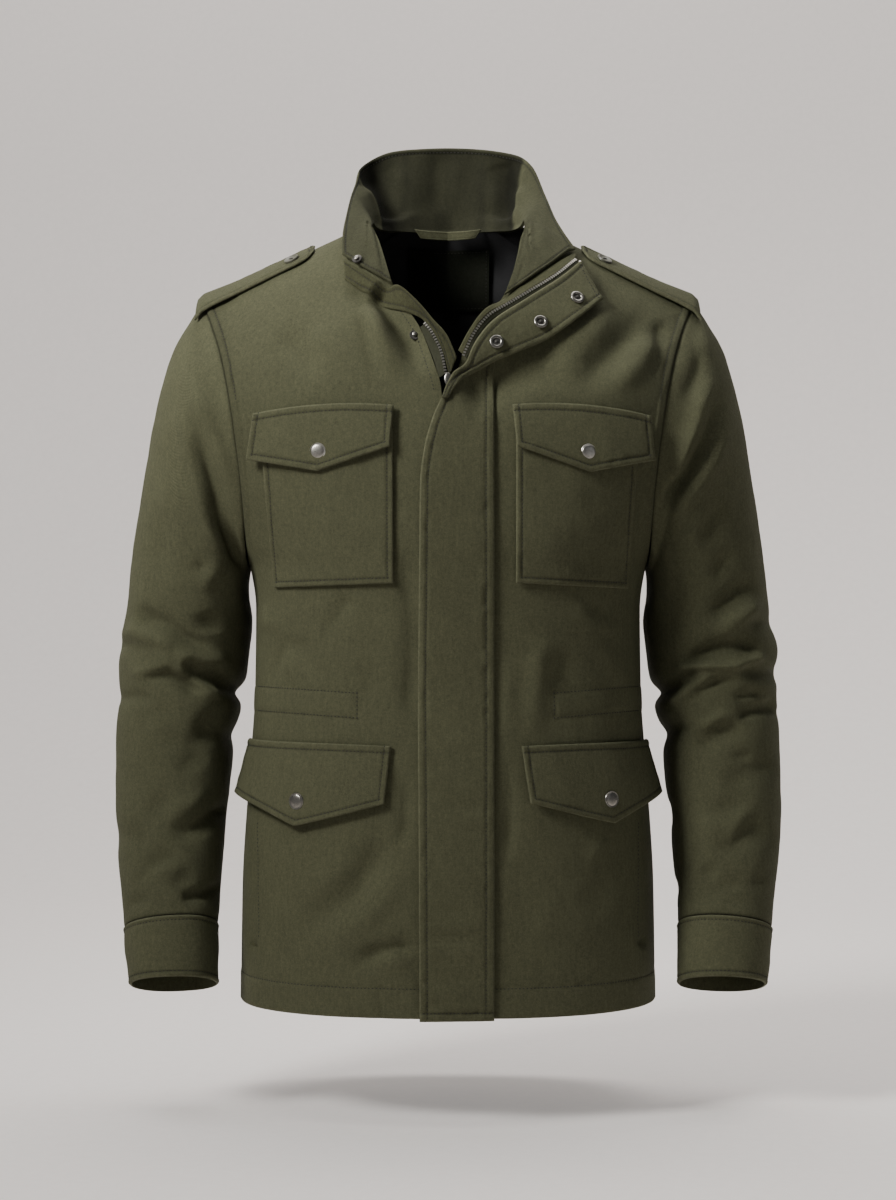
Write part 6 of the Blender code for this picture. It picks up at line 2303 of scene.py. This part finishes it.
@dataclass(frozen=True)
class Fastenings:
    """Snaps, sockets, studs, strap buttons and the zip's slider."""

    snap_radius: float = 0.0076
    snap_height: float = 0.0024
    socket_radius: float = 0.0063
    socket_hole: float = 0.0033
    socket_height: float = 0.0016
    stud_radius: float = 0.0047
    button_radius: float = 0.0072
    button_x: float = 0.1440
    button_y: float = -0.030
    button_lift: float = 0.0036

    SNAPS = (
        ("chest_snap_right", -0.1130, -0.2040, 0.0073),
        ("chest_snap_left", 0.1222, -0.2045, 0.0073),
        ("hip_snap_right", -0.1315, -0.5152, 0.0072),
        ("hip_snap_left", 0.1415, -0.5141, 0.0076),
    )
    SOCKETS = (
        ("lapel_socket_upper", 0.1133, -0.0690, 0.0098),
        ("lapel_socket_middle", 0.0811, -0.0911, 0.0103),
        ("lapel_socket_lower", 0.0424, -0.1091, 0.0112),
    )
    STUDS = (
        ("collar_stud", -0.0800, -0.0320, 0.0084),
        ("front_stud", -0.0300, -0.0965, 0.0008),
    )

    @staticmethod
    def on_front(x: float, z: float, lift: float) -> tuple:
        """A point over the front's cloth and the direction out of it."""
        points, normals = FORM.surface(np.array([x]), np.array([z]), Face.FRONT)
        return points[0] + normals[0] * lift, normals[0]

    def snap(self, name: str, x: float, z: float, lift: float) -> None:
        """A domed snap cap with a turned rim."""
        radius, height = self.snap_radius, self.snap_height
        dome = [
            (radius * 0.80 * math.cos(a), height * (0.62 + 0.42 * math.sin(a)))
            for a in np.linspace(0, 1.45, 9)
        ]
        profile = (
            (0, 0), (radius * 0.94, 0), (radius, height * 0.25), (radius * 0.985, height * 0.5),
            (radius * 0.93, height * 0.66), (radius * 0.86, height * 0.62), *dome, (0, height * 1.04),
        )
        # Painted reflection: the hip caps are the same nickel as the chest caps, drawn in the darker socket
        # metal as they mirror darker surroundings.
        finish = SOCKET if name.startswith("hip") else NICKEL
        cap = name.replace("snap", "snap_cap")
        Turned(cap, *self.on_front(x, z, lift), profile, finish, 48).build((name,))

    def socket(self, name: str, x: float, z: float, lift: float) -> None:
        """A snap's socket: an open ring over a dark plate with a post."""
        place, normal = self.on_front(x, z, lift)
        radius, hole, height = self.socket_radius, self.socket_hole, self.socket_height
        ring = [
            (
                (radius + hole) / 2 + (radius - hole) / 2 * math.cos(a),
                height * 0.42 + height * 0.58 * math.sin(a),
            )
            for a in np.linspace(0, np.pi, 11)
        ]
        profile = ((hole, 0), (radius, 0), *ring)
        Turned(f"{name}_ring", place, normal, profile, SOCKET, 48).build((name,))
        plate = ((0, -0.0001), (hole * 0.98, -0.0001), (hole * 0.98, 0.0004), (0, 0.0004))
        Turned(f"{name}_plate", place, normal, plate, DARK_NICKEL, 32).build()
        post = ((0, 0.0004), (0.0013, 0.0004), (0.0013, 0.0011), (0.0009, 0.0014), (0, 0.0015))
        Turned(f"{name}_post", place, normal, post, DARK_NICKEL, 24).build()

    def stud(self, name: str, x: float, z: float, lift: float) -> None:
        """A snap's stud on a dark eyelet."""
        place, normal = self.on_front(x, z, lift)
        radius = self.stud_radius
        profile = (
            (0, 0), (radius, 0), (radius, 0.0006), (radius * 0.9, 0.0010), (radius * 0.6, 0.0006),
            (radius * 0.52, 0.0006), (0, 0.0006),
        )
        Turned(f"{name}_eyelet", place, normal, profile, DARK_NICKEL, 36).build((name,))
        post = (
            (0, 0.0006), (radius * 0.40, 0.0006), (radius * 0.38, 0.0018), (radius * 0.46, 0.0022),
            (radius * 0.40, 0.0028), (radius * 0.2, 0.0031), (0, 0.0031),
        )
        Turned(f"{name}_post", place, normal, post, SOCKET, 28).build()

    def strap_button(self, side: Side) -> None:
        """A dished button with a bar of dark thread, on a shoulder strap."""
        x, y = np.array([self.button_x]), np.array([self.button_y])
        point = FORM.shoulder_point(x, y, self.button_lift)[0]
        along = FORM.shoulder_point(x + 0.002, y, self.button_lift)[0] - point
        across = FORM.shoulder_point(x, y - 0.002, self.button_lift)[0] - point
        normal = np.cross(across, along)
        normal = normal * np.sign(normal[2]) * (side.value, 1, 1)
        point = point * (side.value, 1, 1)
        radius = self.button_radius
        profile = (
            (0, 0), (radius * 0.88, 0), (radius, 0.0008), (radius, 0.0016), (radius * 0.94, 0.0023),
            (radius * 0.84, 0.0024), (radius * 0.72, 0.0018), (radius * 0.5, 0.0015), (0, 0.0015),
        )
        name = f"epaulette_button_{side.word}"
        Turned(f"{name}_face", point, normal, profile, BUTTON, 44).build((name,))
        bar = ((0, 0.0014), (0.0026, 0.0014), (0.0026, 0.0019), (0.0016, 0.0022), (0, 0.0023))
        Turned(f"{name}_thread", point, normal, bar, THREAD, 20, (1.0, 0.35)).build()

    def zip_fittings(self) -> None:
        """The slider where the zip closes, and its top stop."""
        place, normal = self.on_front(0.0, -0.1405, 0.0036)
        body = (
            (0, 0), (0.0040, 0), (0.0043, 0.0005), (0.0043, 0.0022),
            (0.0036, 0.0027), (0.0014, 0.0027), (0, 0.0027),
        )
        Turned("zip_slider_body", place, normal, body, SOCKET, 28, (0.8, 1.3)).build(("zip_slider",))
        end, way = self.on_front(0.1172, -0.0345, 0.0082)
        stop = ((0, 0), (0.0016, 0), (0.0016, 0.0012), (0, 0.0016))
        Turned("zip_stop", end, way, stop, NICKEL, 16).build()

    def build(self) -> None:
        """Makes the fastenings."""
        for row in self.SNAPS:
            self.snap(*row)
        for row in self.SOCKETS:
            self.socket(*row)
        for row in self.STUDS:
            self.stud(*row)
        for side in Side:
            self.strap_button(side)
        self.zip_fittings()


# The studio


@dataclass(frozen=True)
class Studio:
    """A pale sweep, a key light upper left, a weak fill, a soft light overhead and one on the backdrop.

    LIGHTS has each light's name, place, target, size, power, spread and colour.
    """

    floor_z: float = -0.800
    back_y: float = 2.6
    bend: float = 1.3
    half_width: float = 6.0
    lens: float = 77.1
    sensor: float = 36.0
    shift_y: float = -0.0208

    LIGHTS = (
        ("key", (-1.60, -1.20, 1.20), (-0.07, -0.1, 0.21), (0.7, 0.8), 15.2, 63.0, (1.0, 0.99, 0.96)),
        ("fill", (2.2, -2.2, 0.2), (0.0, 0.0, -0.30), (1.6, 1.8), 2.5, 180.0, (0.95, 0.97, 1.0)),
        ("overhead", (0.0, 0.32, 2.3), (0.0, 0.32, -0.8), (2.4, 2.2), 42.0, 180.0, (1.0, 0.985, 0.965)),
        ("backdrop", (0.0, 0.9, 2.9), (0.0, 2.2, -0.6), (4.0, 1.0), 74.0, 180.0, (1.0, 0.965, 0.935)),
    )
    SKY_COLOUR = (0.95, 0.97, 1.0)
    SKY_STRENGTH = 0.12

    def sweep(self) -> None:
        """The floor that curves up into the backdrop."""
        turn = np.linspace(0, np.pi / 2, 40)
        y = np.concatenate([[-6.0, 0.0], self.back_y - self.bend + self.bend * np.sin(turn), [self.back_y]])
        z = np.concatenate([[0.0, 0.0], self.bend * (1 - np.cos(turn)), [7.0]]) + self.floor_z
        points = [(x, a, b) for a, b in zip(y, z) for x in (-self.half_width, self.half_width)]
        faces = [(2 * i, 2 * i + 1, 2 * i + 3, 2 * i + 2) for i in range(len(y) - 1)]
        mesh = bpy.data.meshes.new("floor")
        mesh.from_pydata(points, [], faces)
        mesh.materials.append(MATERIALS.get(PALE_FLOOR))
        mesh.shade_smooth()
        new_object("floor", mesh)

    def light(
        self, name: str, place: tuple, target: tuple, size: tuple, power: float, spread: float, colour: tuple
    ) -> None:
        """One rectangular area light that points at a target, its spread in degrees."""
        data = bpy.data.lights.new(name, "AREA")
        data.shape = "RECTANGLE"
        data.size, data.size_y = size
        data.energy = power
        data.spread = math.radians(spread)
        data.color = colour
        lamp = bpy.data.objects.new(name, data)
        lamp.location = place
        lamp.rotation_euler = (Vector(target) - Vector(place)).to_track_quat("-Z", "Y").to_euler()
        bpy.context.scene.collection.objects.link(lamp)

    def camera(self) -> None:
        """The front view."""
        data = bpy.data.cameras.new("front")
        data.sensor_fit = "VERTICAL"
        data.sensor_height = self.sensor
        data.lens = self.lens
        data.shift_y = self.shift_y
        camera = bpy.data.objects.new("front", data)
        camera.location = (0.0, -VIEW_DISTANCE, VIEW_HEIGHT)
        camera.rotation_euler = (math.pi / 2, 0.0, 0.0)
        bpy.context.scene.collection.objects.link(camera)
        bpy.context.scene.camera = camera

    def build(self) -> None:
        """Sets the stage."""
        self.sweep()
        self.camera()
        for row in self.LIGHTS:
            self.light(*row)
        world = bpy.data.worlds.new("studio")
        world.use_nodes = True
        sky = world.node_tree.nodes["Background"]
        sky.inputs[0].default_value = (*self.SKY_COLOUR, 1.0)
        sky.inputs[1].default_value = self.SKY_STRENGTH
        bpy.context.scene.world = world


CHEST_BAGS = (
    ChestBag(Side.RIGHT, (-0.1655, -0.190), (-0.0485, -0.185), (-0.1555, -0.324), (-0.0480, -0.3200)),
    ChestBag(Side.LEFT, (0.1690, -0.190), (0.0600, -0.185), (0.1610, -0.325), (0.0596, -0.3195)),
)
FLAP_ROWS = (
    ("chest_flap_right", (-0.1715, -0.1695), 0.0040, (-0.0477, -0.1637), (-0.0505, -0.2006),
     (-0.1136, -0.2209), (-0.1750, -0.2092), 0.0015),
    ("chest_flap_left", (0.1790, -0.1710), 0.0045, (0.0566, -0.1628), (0.0600, -0.2001),
     (0.1239, -0.2214), (0.1800, -0.2096), 0.0015),
    ("hip_flap_right", (-0.1795, -0.4634), 0.0010, (-0.0501, -0.4645), (-0.0558, -0.5157),
     (-0.1332, -0.5374), (-0.1835, -0.5140), 0.0070),
    ("hip_flap_left", (0.1800, -0.4643), 0.0010, (0.0646, -0.4646), (0.0718, -0.5150),
     (0.1442, -0.5355), (0.1838, -0.5140), 0.0070),
)
CHEST_FLAP_LIFT = 0.0043
HIP_FLAP_LIFT = 0.0022
KEPT_METAL = ("zip_chain", "zip_pull")


def keep_nodes() -> None:
    """Gives the CAD solids that stay, hidden under the storm flap, their finish."""
    for name in KEPT_METAL:
        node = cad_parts[name]
        node.data.materials.clear()
        node.data.materials.append(MATERIALS.get(NICKEL))


def main() -> None:
    """Builds the jacket and its stage."""
    logging.basicConfig(level=logging.INFO, format="%(message)s")
    BodyPanels().build()
    for side in Side:
        Sleeve(side).build()
        Epaulette(side).build()
    Collar().build()
    StormFlap().build()
    OpenNeck().build()
    for bag in CHEST_BAGS:
        bag.build()
    for row in FLAP_ROWS:
        PocketFlap(*row, lift=CHEST_FLAP_LIFT if row[0].startswith("chest") else HIP_FLAP_LIFT).build()
    NeckInside().build()
    STITCHES.sew()
    Fastenings().build()
    keep_nodes()
    Studio().build()


if __name__ == "__main__":
    main()
